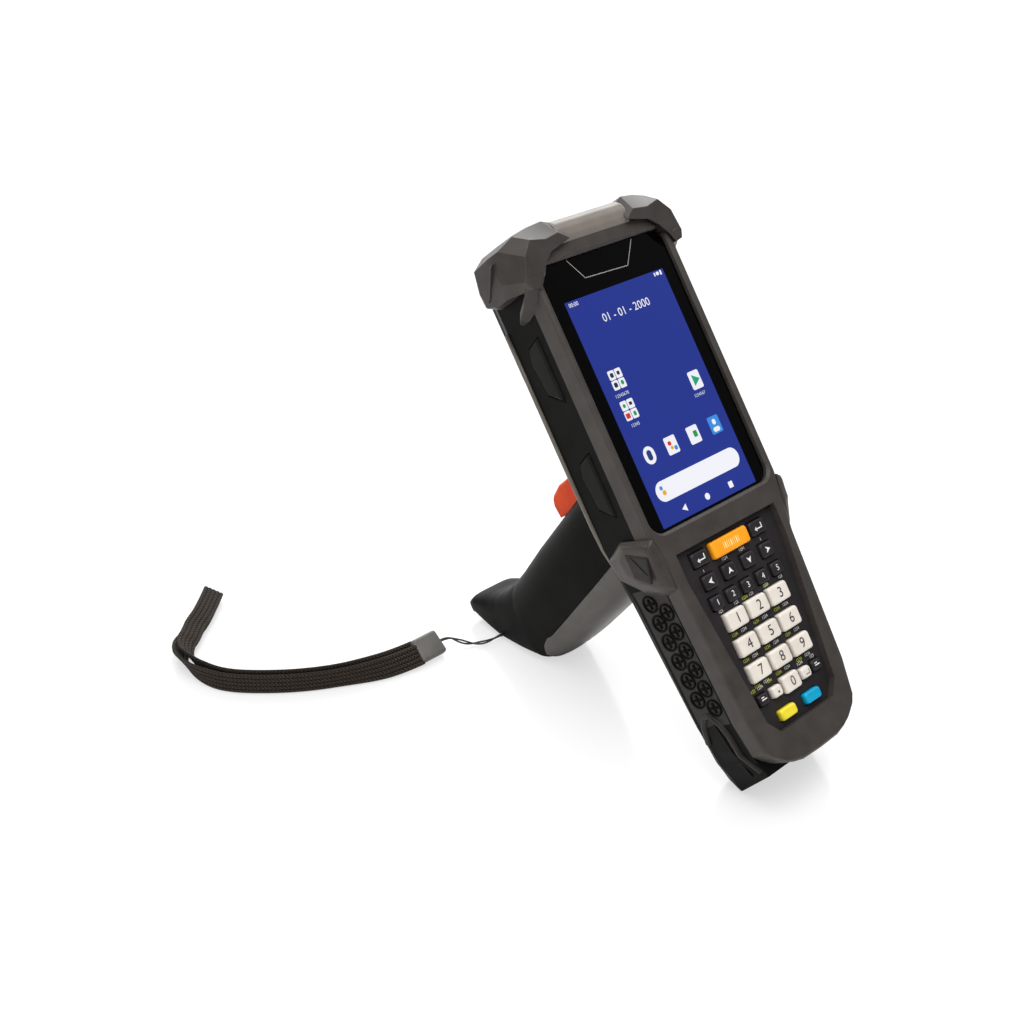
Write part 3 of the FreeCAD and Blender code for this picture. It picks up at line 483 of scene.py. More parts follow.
grip = grip_profile()
full_turn = np.tile(np.linspace(0, 2 * pi, GRIP_POINTS, endpoint=False), (GRIP_LEVELS, 1))
black_shell = moulded("glass_filled_polycarbonate", "#0e0e0d", "#141312", 0.5, 0.0004, 0.3, 0.06)
shell = grid_piece("grip_shell_smooth", grip_surface(grip, full_turn))
dress(shell, "case", "black_shell", black_shell, "grip_shell")
sheet = palm_sheet()
numbers = np.arange(sheet[..., 0].size).reshape(sheet.shape[:2])
pad = new_object("palm_pad", sheet.reshape(-1, 3), quads(numbers))
pad.data.polygons.foreach_set("use_smooth", [True] * len(pad.data.polygons))
skin = pad.modifiers.new("skin", "SOLIDIFY")
skin.thickness = 0.001
skin.offset = 0
palm = moulded("palm_rubber", "#45413b", "#514c46", 0.36, 0.0004, 0.3, 0.6)
dress(pad, "case", "palm_rubber", palm, "grip_pad")

# Trigger: a satin orange polycarbonate lever on its pin, in the grip's throat.
# It is one moulding, and its edges are well rounded for the finger.
orange = moulded("orange_polycarbonate", "#d2380a", "#e24c0e", 0.4, 0.0003, 0.1, 0.2)
eased("trigger", 0.0014, "orange_trigger", orange, 5)


# Case: rubber-trimmed front frame over a black polycarbonate tub, screwed together from behind.
# A hump on the tub's back covers the scan engine, and a rubber bead runs along each rear edge, lighter than
# the frame's rubber as a painted highlight.
frame_rubber = moulded("overmould_rubber", "#37322f", "#423d39", 0.45, 0.00045, 0.35, 0.28)
SIDES = (("left", -1), ("right", 1))
ALIGNED = 0.98
END_CUTS = (-0.016, -0.011, 0, 0.011, 0.016)
END_X = (20.5, 26.4, 28.4)
END_V = (-151.5, -148.5, -143.0)
END_LOW, END_RISE, END_FADE = -151.8, 10.5, 8
HUMP_LEVELS = ((-27, 33.5, 72, 13, 4), (-33, 33.0, 71, 15.5, 5), (-36.6, 31.5, 69, 22, 6),
               (-38.3, 28.5, 66, 28, 7))
BEAD_LINE = [(38.3, 46), (38.3, 20), (38.3, -10), (38.2, -36), (37.6, -46), (34.6, -60)]


def off_case(vert):
    """A frame point's offset from the display's middle, in millimetres."""
    return np.array(vert.co) * 1000 - DISPLAY_PLACE


def upright_at(low, high, near, far):
    """Test for edges square to the display between two heights and two distances from the middle plane."""
    def chosen(edge):
        ends = np.array([off_case(vert) for vert in edge.verts])
        way = ends[1] - ends[0]
        up = ends @ UP_CASE
        square = abs(way @ OUT_CASE) > ALIGNED * np.linalg.norm(way) > ALIGNED
        return square and low < up.min() and up.max() < high and near < abs(ends[:, 0]).min() < far
    return chosen


def draw_in(worked):
    """Rounds the frame's lower end, cut at END_CUTS, from the outline through END_X and END_V to
    v = END_LOW + END_RISE (|x| / x3)^3, with x3 its corner; the shift fades out over END_FADE above it."""
    for across in END_CUTS:
        bmesh.ops.bisect_plane(worked, geom=worked.verts[:] + worked.edges[:] + worked.faces[:],
                               plane_co=(across, 0, 0), plane_no=(1, 0, 0))
    for vert in worked.verts:
        place = off_case(vert)
        up, across = place @ UP_CASE, abs(place[0])
        end = np.interp(across, END_X, END_V)
        shift = max(END_LOW + END_RISE * (across / END_X[2]) ** 3 - end, 0)
        place += UP_CASE * shift * np.clip(1 - (up - end) / END_FADE, 0, 1)
        vert.co = (place + DISPLAY_PLACE) / 1000


corners = [(upright_at(-148, -118, 0, 22), 0.0035), (upright_at(-158, -120, 22, 60), 0.007)]
eased("front_frame", 0.0009, "frame_rubber", frame_rubber, 4, rounding=corners, reshape=draw_in)
eased("rear_housing", 0.0007, "black_shell", black_shell)


def prism(name, rings):
    """Closed block through rings of equally many (across, up, out) corners in case millimetres."""
    return grid_piece(name, on_case(rings), smooth=False)


def mirror(rings, side):
    """The same rings for the side given: 1 is right and -1 left."""
    return np.array(rings, float) * [side, 1, 1]


def both_sides(name, rings, slot, material, ease=(), node="", smooth=False):
    """One closed piece on each side of the case, with its edges eased by soften's values if they are given."""
    for side_name, side in SIDES:
        piece = grid_piece(name + side_name, on_case(mirror(rings, side)), smooth)
        if ease:
            soften(piece, *ease)
        dress(piece, "case", slot, material, *([node + side_name] if node else []))


def hump_rings():
    """Box outlines with cut corners, from the (depth, half width, top, low end, cut) rows of HUMP_LEVELS."""
    rings = []
    for depth, half, top, low, cut in HUMP_LEVELS:
        outline = [(half, top - cut), (half - cut, top), (cut - half, top), (-half, top - cut),
                   (-half, low + cut), (cut - half, low), (half - cut, low), (half, low + cut)]
        rings.append([(across, up, depth) for across, up in outline])
    return rings


hump = soften(prism("rear_hump", hump_rings()), 0.0012, 4)
dress(hump, "case", "black_shell", black_shell)

# The bead's rubber is lighter than the frame's: a painted highlight along each rear edge.
bead_highlight_rubber = moulded("edge_rubber_painted_highlight", "#58524b", "#676159", 0.35, 0.00045, 0.2, 0.4)
bead_line = np.array([(across, up, -26.6) for across, up in BEAD_LINE])
bead = swept(bead_line, np.array([[0.75, 0, 0]]), np.array([[0, 0, 0.95]]), 10)
both_sides("rear_bead_", bead, "frame_rubber", bead_highlight_rubber, smooth=True)

# Corner bumpers: thick faceted rubber at the scanner's end, moulded over the frame's top corners.
# Each has a steep facet to the top and the side, and a strut that ties it to the side wall.
BUMPER_RINGS = [
    [(16.2, 69.0, 5.0), (21, 72.4, 5.2), (28.6, 71.4, 5.5), (36, 73.0, 5.4), (41.2, 67.4, 5.0),
     (44.2, 58.6, 3.2), (42.2, 55.4, 3.6), (38.2, 54.6, 3.6), (35.0, 58.8, 4.6), (32.0, 62.8, 4.6),
     (27.5, 66.4, 4.9)],
    [(16.6, 76.9, 0.6), (22.4, 79.4, 0.2), (29.8, 78.9, -0.8), (37.2, 77.3, -1.8), (43.6, 74.2, -5.5),
     (45.5, 62.0, -8.5), (45.3, 56.4, -9.5), (38.9, 56.4, -8.5), (38.7, 58.2, 2.3), (35.6, 60.5, 2.3),
     (28, 68.5, 2.3)],
    [(18.6, 76.8, -9), (22.8, 79.0, -9), (30.0, 79.2, -9.5), (37.6, 77.2, -11), (44.0, 73.8, -12.5),
     (45.5, 62.0, -14.5), (45.4, 56.0, -15.5), (38.9, 56.0, -12), (38.7, 58.0, -8), (38.6, 60.0, -8),
     (27, 76.4, -9)],
    [(18.6, 76.8, -22), (22.6, 78.4, -22.6), (30.0, 78.6, -22.8), (37.2, 76.6, -22.8), (43.6, 72.6, -22.8),
     (45.3, 64.0, -22.8), (45.2, 57.6, -22.4), (38.9, 55.2, -22), (38.7, 57.0, -22), (38.6, 59.0, -22),
     (27, 76.4, -22)],
    [(18.8, 76.8, -24.6), (22.6, 76.9, -25.6), (29.8, 77.0, -26), (36.0, 75.0, -26), (41.4, 71.0, -26),
     (43.0, 64.0, -26), (43.0, 58.6, -25.6), (38.9, 56.2, -24.6), (38.7, 57.6, -24.6), (38.6, 59.0, -24.6),
     (27, 76.4, -24.6)],
]
STRUT_RINGS = [
    [(37.6, 59.6, 4.4), (43.6, 60.2, 3.4), (43.8, 56.6, 0.6), (38.0, 54.6, 1.6)],
    [(38.2, 54.0, 0.8), (43.2, 55.0, -1.6), (43.0, 51.6, -4.8), (38.2, 49.4, -2.2)],
    [(38.2, 49.6, -8.0), (41.8, 50.6, -9.4), (41.6, 47.6, -11.8), (38.2, 46.0, -10.6)],
    [(38.2, 47.4, -13.4), (39.6, 47.8, -14.2), (39.6, 46.4, -14.8), (38.2, 45.8, -14.6)],
]
RIB_RINGS = [
    [(44.6, 71.5, -8.6), (46.1, 70.5, -9.2), (46.1, 69.7, -10.8), (44.8, 71.0, -11.2)],
    [(44.8, 60.0, -17.6), (46.0, 60.0, -17.9), (46.0, 59.0, -19.4), (44.8, 59.0, -19.8)],
]
bumper_rubber = moulded("bumper_rubber", "#322e2b", "#3d3835", 0.42, 0.00045, 0.35, 0.32)
for side_name, side in SIDES:
    guard = prism("corner_bumper_" + side_name, mirror(BUMPER_RINGS, side))
    guard = join(guard, prism("strut", mirror(STRUT_RINGS, side)), prism("rib", mirror(RIB_RINGS, side)))
    soften(guard, 0.0006, 3, 16)
    dress(guard, "case", "frame_rubber", bumper_rubber, "top_bumper_" + side_name)

# Top cap: a light grey polycarbonate cover between the bumpers, over the scan window's upper edge.
# It is one smooth shell, rolled over from the front to the top end.
CAP_PROFILE = [(68.2, 2.5), (70.6, 3.5), (73.6, 3.5), (76.2, 2.5), (77.9, 0.4), (78.6, -2.6), (78.6, -7.4),
               (69.5, -7.4)]
CAP_ENDS = ((-19.8, 0.5), (-18.6, 0.0), (18.6, 0.0), (19.8, 0.5))
cap_grey = moulded("grey_polycarbonate", "#6f6862", "#7c756e", 0.4, 0.0004, 0.2, 0.3)
cap_rings = [[(across, up - drop, out - drop) for up, out in CAP_PROFILE] for across, drop in CAP_ENDS]
cap = soften(prism("top_cap_smooth", cap_rings), 0.0012, 4, 12)
dress(cap, "case", "grey_cap", cap_grey, "top_cap")

# Middle bumpers: a rubber chevron on each side at the waist, standing off the wall over the lower button.
# Each carries a recessed pocket with a slanted slot, and its upper edge runs out as a wing. The slot is a
# near-black piece standing on the pocket, as painted shade.
CHEVRON_RINGS = [
    [(38.0, -44.6, -14.6), (38.2, -47.4, 3.0), (36.2, -57.6, 3.0), (34.6, -69.4, 1.2), (34.2, -71.2, -4.6),
     (34.6, -68.2, -16.0), (36.4, -60.0, -25.6), (38.0, -50.0, -25.6)],
    [(40.9, -45.8, -12.6), (40.9, -49.6, 2.2), (39.8, -57.6, 2.0), (37.8, -67.6, -0.6), (37.4, -69.0, -4.4),
     (38.0, -65.4, -14.0), (38.8, -58.6, -22.0), (39.8, -50.4, -21.0)],
    [(41.8, -48.0, -11.2), (41.8, -51.0, 0.4), (41.2, -57.6, 0.0), (39.8, -65.4, -2.0), (39.6, -66.2, -4.4),
     (40.0, -62.6, -11.4), (40.8, -57.6, -16.0), (41.4, -51.6, -16.0)],
]
WING_LINE = [(38.6, -48.0, -15.0), (40.6, -46.8, -11.0), (40.6, -49.4, 1.2), (39.2, -57.6, 1.9),
             (36.6, -66.0, 0.2)]
WING_SIZE = np.array([[0.2], [0.6], [0.7], [0.6], [0.2]])
POCKET_FRAME = [(-49.6, -11.4), (-53.6, 0.0), (-63.8, -3.4), (-60.0, -11.2)]
POCKET_LEVELS = (41.0, 42.2)
SLOT_CORNERS = [(-52.8, -7.1), (-51.2, -8.5), (-58.2, -4.5), (-59.8, -3.1)]
SLOT_LEVELS = (42.0, 42.35)
# Near-black pieces stand for the shade inside the slots: painted shade, not a colour of the rubber.
slot_shade_black = moulded("slot_painted_shade", "#0b0a0a", "#11100f", 0.6, 0.0004, 0.2, 0.12)
pocket_rubber = moulded("pocket_rubber", "#221f1c", "#2b2724", 0.45, 0.00045, 0.35, 0.2)
wing = swept(np.array(WING_LINE), WING_SIZE * [1, 0, 0], WING_SIZE * [0, 1, 0], 10)
pocket = [[(level, up, out) for up, out in POCKET_FRAME] for level in POCKET_LEVELS]
cut = [[(level, up, out) for up, out in SLOT_CORNERS] for level in SLOT_LEVELS]
both_sides("waist_chevron_", CHEVRON_RINGS, "frame_rubber", frame_rubber, (0.0009, 4, 14), "mid_bumper_")
both_sides("waist_wing_", wing, "frame_rubber", frame_rubber, smooth=True)
both_sides("chevron_tab_", pocket, "frame_rubber", pocket_rubber, (0.0008, 3))
# The slot piece is painted shade standing proud of the pocket.
both_sides("chevron_slot_", cut, "black_shell", slot_shade_black)

# Side buttons: black rubber keys on the side walls, each in a narrow groove cut in the tub.
# The upper one has a raised mark in its middle.
side_rubber = moulded("side_key_rubber", "#131312", "#1b1b19", 0.5, 0.0003, 0.25, 0.1)
for side_name, _ in SIDES:
    for level_name in ("upper", "lower"):
        eased("side_button_%s_%s" % (side_name, level_name), 0.0005, "side_key_rubber", side_rubber)

# Grip texture: two columns of moulded rubber rings with a cross in each, on both lower side walls.
# They sit in the wall's recess between the waist and the heel.
RING_PLACES = [(first - pitch * step, out) for first, pitch, out in ((-77, 8.3, -11.4), (-72.2, 8.4, -18.2))
               for step in range(6)]
RING_RADII = (3.7, 2.95)
RING_HIGH = 0.7
RING_POINTS = 24
CROSS_LONG, CROSS_HALF = 2.2, 0.45


def wall_across(up):
    """How far the lower side wall stands from the middle plane, along the case."""
    return np.interp(-up, [46, 71, 126, 143, 149], [38.0, 33.8, 30.6, 27.8, 25.6])


def ring_shapes():
    """Outlines, faces and edges of a flat ring and of the two bars of a cross."""
    turns = np.linspace(0, 2 * pi, RING_POINTS, endpoint=False)
    ring = [(radius * np.cos(turn), radius * np.sin(turn)) for radius in RING_RADII for turn in turns]
    pairs = [(i, (i + 1) % RING_POINTS) for i in range(RING_POINTS)]
    yield (ring, [[a, b, RING_POINTS + b, RING_POINTS + a] for a, b in pairs],
           pairs + [(RING_POINTS + b, RING_POINTS + a) for a, b in pairs])
    for long, wide in ((CROSS_LONG, CROSS_HALF), (CROSS_HALF, CROSS_LONG)):
        yield ([(-long, -wide), (long, -wide), (long, wide), (-long, wide)], [[0, 1, 2, 3]],
               [(0, 1), (1, 2), (2, 3), (3, 0)])


def ring_faces(side):
    """Points and faces of the rings and crosses, which stand RING_HIGH off the wall."""
    points, faces = [], []
    for up, out in RING_PLACES:
        for outline, tops, edges in ring_shapes():
            start, count = len(points), len(outline)
            for lift in (0.0, RING_HIGH):
                points += [(side * (wall_across(up + a) + lift), up + a, out + b) for a, b in outline]
            faces += [[start + count + i for i in face] for face in tops]
            faces += [[start + a, start + b, start + count + b, start + count + a] for a, b in edges]
    return points, faces


ring_rubber = moulded("ring_rubber", "#030303", "#060606", 0.6, 0.0004, 0.2, 0.06)
for side_name, side in SIDES:
    points, faces = ring_faces(side)
    rings = new_object("grip_rings_" + side_name, on_case(points), faces)
    face_outward(rings)
    dress(rings, "case", "black_shell", ring_rubber)

# Side panels: brown-black rubber overmoulded on the lower side walls, under the rings.
# They reach from the waist to the heel lugs.
PANEL_SECTION = ((-0.5, -7.0), (0.22, -7.2), (0.22, -24.2), (-0.5, -24.4))
PANEL_LEVELS = (-66, -71, -90, -108, -122, -126)
panel_rubber = moulded("side_panel_rubber", "#26231f", "#302c28", 0.5, 0.00045, 0.35, 0.2)
panel = [[(wall_across(up) + lift, up, out) for lift, out in PANEL_SECTION] for up in PANEL_LEVELS]
both_sides("side_panel_", panel, "frame_rubber", panel_rubber)

# Heel lugs: a rubber arch on each side of the case's lower end, round a deep slot for a hand strap's end.
# The arch is part of the frame's rubber, and the slot is a near-black piece on the wall, as painted shade.
LUG_LINE = [(-133.0, -25.0), (-126.0, -22.4), (-121.8, -19.6), (-121.2, -16.4), (-125.2, -13.0),
            (-131.0, -11.6), (-139.8, -11.8), (-148.6, -7.4)]
LUG_LIFT = 0.1
LUG_WIDE, LUG_HIGH = 1.45, 1.3
SLOT_LINE = [(-126.0, -20.6), (-125.2, -15.6), (-137.8, -15.0), (-150.0, -13.4), (-151.0, -22.0),
             (-137.0, -23.6)]
SLOT_DEPTHS = (-0.6, 0.4)
lug_line = np.array([(wall_across(up) + LUG_LIFT, up, out) for up, out in LUG_LINE])
step = np.gradient(lug_line, axis=0)
step /= np.linalg.norm(step, axis=1, keepdims=True)
arch = swept(lug_line, np.cross(step, [1, 0, 0]) * LUG_WIDE, np.array([[LUG_HIGH, 0, 0]]), 12)
recess = [[(wall_across(up) + lift, up, out) for up, out in SLOT_LINE] for lift in SLOT_DEPTHS]
both_sides("heel_arch_", arch, "frame_rubber", pocket_rubber, smooth=True)
# The heel slot piece is painted shade on the wall, not a cut.
both_sides("heel_slot_", recess, "black_shell", slot_shade_black)

# Window: toughened cover glass, printed black behind, bonded into the frame.
# A bare trapezoid is printed above the picture, and the picture itself lights through the clear middle.
PRINT_LEVEL = 0.03
LAYERS = (0.03, 0.05, 0.07, 0.09)


def ranged_noise(tree, scale, low, high):
    """Noise of one scale in the object's own space, brought between two values."""
    noise = object_noise(tree, scale)
    return add_node(tree, "MapRange", [("Value", noise)], To_Min=low, To_Max=high).outputs[0]


def uneven(tree, code, scale, low, high):
    """A hex colour times the ranged noise."""
    share = ranged_noise(tree, scale, low, high)
    return add_node(tree, "VectorMath", [(0, linear(code)[:3]), (1, share)], operation="MULTIPLY").outputs[0]


def make_glass():
    """Cover glass over black print: a clear coat with a slight haze of handling."""
    material, tree = new_material("black_printed_glass")
    return coated(material, [("Roughness", ranged_noise(tree, 60, 0.05, 0.1))], Base_Color=linear("#030304"),
                  Specular_IOR_Level=0.13)


def make_printed(name, code):
    """Silk-screened ink: flat colour, a little uneven where the ink lies thinner."""
    material, tree = new_material(name)
    return coated(material, [("Base Color", uneven(tree, code, 900, 0.85, 1.1))], Roughness=0.5,
                  Specular_IOR_Level=0.2)


def make_lit(name, code):
    """A lit part of the picture: its own light carries the colour, a little uneven across the panel."""
    material, tree = new_material(name)
    return coated(material, [("Emission Color", uneven(tree, code, 9, 0.9, 1.12))], Emission_Strength=1.0,
                  Base_Color=(0.001, 0.001, 0.001, 1), Roughness=0.1, Specular_IOR_Level=0.25)


def flat_shapes(name, outlines, height, material, slot="black_glass", body="case"):
    """Thin shapes in one plane parallel to the display, from their outlines in millimetres."""
    points, faces = [], []
    for shape in outlines:
        faces.append(list(range(len(points), len(points) + len(shape))))
        points += [(across, up, height) for across, up in shape]
    return dress(new_object(name, on_case(points), faces), body, slot, material)


def rounded(across, up, wide, high, corner, steps=7):
    """Outline of a rounded rectangle: four quarter circles of one radius, anticlockwise."""
    points = []
    for quarter, (side, rise) in enumerate(((1, 1), (-1, 1), (-1, -1), (1, -1))):
        for angle in np.linspace(0, pi / 2, steps) + quarter * pi / 2:
            points.append((across + side * (wide / 2 - corner) + corner * cos(angle),
                           up + rise * (high / 2 - corner) + corner * sin(angle)))
    return points


def band(points, width):
    """An open line of one width as quads, for printed strokes."""
    line = np.array(points, float)
    shapes = []
    for start, end in zip(line[:-1], line[1:]):
        way = (end - start) / np.linalg.norm(end - start)
        across = np.array([-way[1], way[0]]) * width / 2
        start, end = start - way * width * 0.3, end + way * width * 0.3
        shapes.append([tuple(start - across), tuple(end - across), tuple(end + across), tuple(start + across)])
    return shapes


def lettering(text, size):
    """Faces of a text in its own plane, centred: points and polygons."""
    curve = bpy.data.curves.new("lettering", "FONT")
    curve.body = text
    curve.size = size
    curve.align_x = "CENTER"
    curve.align_y = "CENTER"
    curve.resolution_u = 4
    holder = add_object("lettering", curve)
    mesh = bpy.data.meshes.new_from_object(holder)
    points = np.array([vert.co[:2] for vert in mesh.vertices])
    faces = [list(face.vertices) for face in mesh.polygons]
    bpy.data.objects.remove(holder)
    return points, faces


def number_rows(name, rows, height, material, slot="black_glass", body="case"):
    """Printed rows of plain numbers in one piece, each (text, across, up, size) in millimetres."""
    points, faces = [], []
    for text, across, up, size in rows:
        shape, marks = lettering(text, size)
        faces += [[len(points) + corner for corner in mark] for mark in marks]
        points += [(across + a, up + b, height) for a, b in shape]
    return dress(new_object(name, on_case(points), faces), body, slot, material)


eased("display_glass", 0.0003, "black_glass", make_glass(), 2)
label_grey = make_printed("printed_silver", "#8d8b87")
field = band([(-18.2, 62.0), (-12.7, 53.4), (11, 52.5), (18.6, 62.0)], 0.36)
flat_shapes("maker_field", field, PRINT_LEVEL, label_grey)
lit_white = make_lit("lit_white", "#f2f3fa")
lit_pale = make_lit("lit_pale_blue", "#dfe3f5")
tiles = [(across + a, up + b, 3.4, 3.8, 0.5, 3) for across, up in ((-18.9, 12.8), (-19.4, 0.2))
         for a in (-1.85, 1.85) for b in (-2.05, 2.05)]
PICTURE = [
    ("picture", 0, make_lit("lit_blue", "#26378f"), [(0, 0, 56.2, 93.7, 0.3, 2)]),
    ("status_row", 1, lit_white, [(22.6, 45.4, 0.7, 1.5, 0.2, 3), (24.3, 45.5, 1.6, 1.5, 0.5, 3),
                                  (26.2, 45.5, 1.0, 1.9, 0.2, 3)]),
    ("folder_tiles", 1, lit_white, tiles),
    ("folder_marks_dark", 2, make_lit("lit_ink", "#25324a"),
     [(-20.7, 14.8, 1.8, 1.9, 0.6, 4), (-17.1, 14.9, 1.5, 1.5, 0.3, 3), (-20.7, 10.8, 1.9, 2.0, 0.6, 4),
      (-17.6, 2.3, 1.6, 1.3, 0.2, 3)]),
    ("folder_marks_green", 2, make_lit("lit_green", "#2f9a55"),
     [(-17.0, 10.9, 1.6, 1.9, 0.8, 5), (-21.2, 2.2, 1.5, 1.6, 0.7, 5), (-17.5, -1.9, 1.5, 1.8, 0.4, 4),
      (7.7, -18.9, 2.2, 2.6, 0.4, 3)]),
    ("folder_marks_red", 2, make_lit("lit_red", "#d8382f"),
     [(-21.3, -1.9, 2.3, 2.1, 0.3, 3), (-7.4, -18.1, 1.9, 1.7, 0.6, 4)]),
    ("dock_tiles", 1, lit_white,
     [(19.8, 0.5, 6.3, 7.6, 0.8), (-19.4, -19.0, 6.0, 7.2, 3.0, 10), (-6.6, -19, 6.4, 7.2, 0.7),
      (6.7, -19, 6.4, 7.2, 0.7), (0.3, -33.8, 49.4, 8.2, 4.1, 12)]),
    ("dock_ring", 2, make_lit("lit_navy", "#2a3f7c"), [(-19.4, -19.0, 2.6, 4.2, 1.2, 8)]),
    ("dock_blue_tile", 2, make_lit("lit_light_blue", "#3f8fe0"),
     [(19.7, -19, 6.4, 7.2, 0.7), (-4.9, -20.6, 1.8, 1.8, 0.6, 4), (-21.0, -32.3, 1.6, 1.6, 0.5, 4)]),
    ("dock_figure", 3, lit_white, [(19.7, -17.8, 2.0, 2.3, 0.9, 6), (19.7, -20.9, 3.8, 1.9, 0.9, 6)]),
    ("search_marks", 2, make_lit("lit_amber", "#e9a92a"),
     [(-20.2, -34.4, 2.0, 2.0, 0.9, 6), (-6.9, -20.0, 1.5, 1.4, 0.5, 4)]),
]
for name, layer, finish, outlines in PICTURE:
    flat_shapes(name, [rounded(*outline) for outline in outlines], LAYERS[layer], finish)
lit_teal = make_lit("lit_teal", "#22a57f")
flat_shapes("tile_arrow", [[(18.4, 2.9), (18.4, -1.9), (22.4, 0.5)]], LAYERS[2], lit_teal)
nav = [[(-15.2, -43.2), (-12.5, -44.7), (-12.5, -41.7)], rounded(-0.1, -43.2, 2.7, 2.7, 1.3, 6),
       rounded(14.3, -43.2, 2.5, 2.6, 0.2, 3)]
flat_shapes("navigation_marks", nav, LAYERS[1], lit_white)
clock = [("00:00", -24, 45.2, 2.3), ("01 - 01 - 2000", 0.5, 36.3, 4.7)]
number_rows("time_and_date", clock, LAYERS[1], lit_white)
tile_numbers = [("12345678", -19.8, 6.5, 1.9), ("12345", -19.7, -6.0, 1.9), ("1234567", 18.8, -5.5, 1.9)]
number_rows("tile_numbers", tile_numbers, LAYERS[1], lit_pale)

# Keypad: a satin black plate with key caps of two-shot plastic and rubber standing through it.
# The caps are wider at their foot, have a soft top edge and carry printed marks.
plate_black = moulded("keypad_polycarbonate", "#242123", "#2c292b", 0.42, 0.0003, 0.15, 0.2)
eased("keypad_plate", 0.0002, "keypad_black", plate_black, 2)
KEY_FINISHES = {
    "black_key": moulded("black_key_rubber", "#211f21", "#2a272a", 0.4, 0.0003, 0.15, 0.3),
    "white_key": moulded("ivory_key_plastic", "#dcd4c9", "#e7dfd5", 0.35, 0.0003, 0.1, 0.4),
    "orange_key": moulded("orange_key_plastic", "#f29410", "#fba61c", 0.35, 0.0003, 0.1, 0.4),
    "yellow_key": moulded("yellow_key_plastic", "#e8d42c", "#f2e03e", 0.35, 0.0003, 0.1, 0.4),
    "blue_key": moulded("blue_key_plastic", "#0397c2", "#0aa5d0", 0.4, 0.0003, 0.1, 0.3),
}
KEY_TOPS = {"black_key": 1.2, "white_key": 2.0, "orange_key": 1.9, "yellow_key": 1.8, "blue_key": 1.8}
DIGIT_SINK, MARK_SINK = 0.02, 0.01
PLATE_LEVEL = -0.37
slots = {row["node"]: row["material_slot"] for row in frame["record"]["subparts"]}


def key_places():
    """Centre and size of each key, in case millimetres."""
    places = {"key_scan": (0, -63.1, 21.8, 7.0), "key_enter_left": (-17.6, -63.1, 9.0, 6.0),
              "key_enter_right": (17.6, -63.1, 9.0, 6.0), "key_left": (-17.6, -72.8, 7.2, 6.0),
              "key_up": (-5.9, -72.8, 7.2, 6.0), "key_down": (5.9, -72.8, 7.2, 6.0),
              "key_right": (17.6, -72.8, 7.2, 6.0), "key_0": (0, -123.0, 9.6, 7.0),
              "key_point": (-9.2, -123.0, 5.4, 4.6), "key_back": (9.2, -123.0, 5.4, 4.6),
              "key_escape": (-17.0, -123.0, 5.4, 4.6), "key_tab": (17.0, -123.0, 5.4, 4.6),
              "key_yellow": (-7.8, -132.4, 9.3, 4.6), "key_blue": (7.8, -132.4, 9.3, 4.6)}
    places.update({"key_f%d" % (i + 1): (9.3 * (i - 2), -81.3, 6.4, 5.4) for i in range(5)})
    places.update({"key_%d" % (3 * row + i + 2): (13.2 * i, -90.3 - 11 * row, 11.3, 7.5)
                   for row in range(3) for i in (-1, 0, 1)})
    return places


def key_cap(name, across, up, wide, high, top):
    """Rounded rectangles at six heights: the sides lean in by 0.25 mm and the top is dished by 0.1 mm."""
    levels = ((0, -1.9, 1.0), (0.05, top - 0.9, 1.0), (0.25, top - 0.28, 1.1), (0.5, top - 0.04, 1.2),
              (0.9, top, 1.2), (min(wide, high) * 0.33, top - 0.1, 0.9))
    rings = [[(a, b, level) for a, b in rounded(across, up, wide - 2 * inset, high - 2 * inset,
                                                min(corner, high / 2 - inset - 0.05), 6)]
             for inset, level, corner in levels]
    return grid_piece(name, on_case(rings))


def arrow_outline(across, up, turn):
    """A swept arrowhead that points the given way."""
    shape = np.array([(0, 1.5), (-1.4, -1.2), (0, -0.45), (1.4, -1.2)])
    spin = np.array([(cos(turn), sin(turn)), (-sin(turn), cos(turn))])
    return [tuple(point) for point in shape @ spin + (across, up)]


def key_mark(node, ending, shapes, ink):
    """Printed shapes on the top of a key, which move with it."""
    slot = slots[node]
    flat_shapes(node + ending, shapes, KEY_TOPS[slot] - MARK_SINK, ink, slot, node)


def key_digit(node, row, ink):
    """A printed digit on the top of a key, which moves with it."""
    slot = slots[node]
    number_rows(node + "_digit", [row], KEY_TOPS[slot] - DIGIT_SINK, ink, slot, node)


ink_dark = make_printed("printed_dark_grey", "#3c3a3b")
ink_white = make_printed("printed_white", "#e9e7e3")
ink_green = make_printed("printed_yellow_green", "#c3d23a")
places = key_places()
for node, (across, up, wide, high) in places.items():
    slot = slots[node]
    cap = key_cap(node + "_cap", across, up, wide, high, KEY_TOPS[slot])
    dress(cap, node, slot, KEY_FINISHES[slot], node)
    if node[4:].isdigit():
        key_digit(node, (node[4:], across + 0.4, up, 5.6 if node == "key_0" else 6.0), ink_dark)
    elif node[5:].isdigit():
        key_digit(node, (node[5:], across, up, 3.4), ink_white)
for node, turn in (("key_up", 0), ("key_left", pi / 2), ("key_down", pi), ("key_right", -pi / 2)):
    key_mark(node, "_arrow", [arrow_outline(*places[node][:2], turn)], ink_white)
for node in ("key_enter_left", "key_enter_right"):
    across, up = places[node][:2]
    hook = band([(across + 2.0, up + 1.2), (across + 2.0, up - 0.6), (across - 1.4, up - 0.6)], 0.5)
    hook.append([(across - 2.4, up - 0.6), (across - 1.2, up - 1.6), (across - 1.2, up + 0.4)])
    key_mark(node, "_mark", hook, ink_white)
for node in ("key_escape", "key_tab"):
    across, up = places[node][:2]
    strokes = band([(across - 1.3, up), (across + 1.3, up)], 0.45)
    strokes += band([(across - 1.3, up + 0.9), (across + 0.2, up + 0.9)], 0.4)
    key_mark(node, "_mark", strokes, ink_white)
key_mark("key_point", "_mark", [rounded(-9.0, -123.4, 0.9, 0.9, 0.4, 4)], ink_dark)
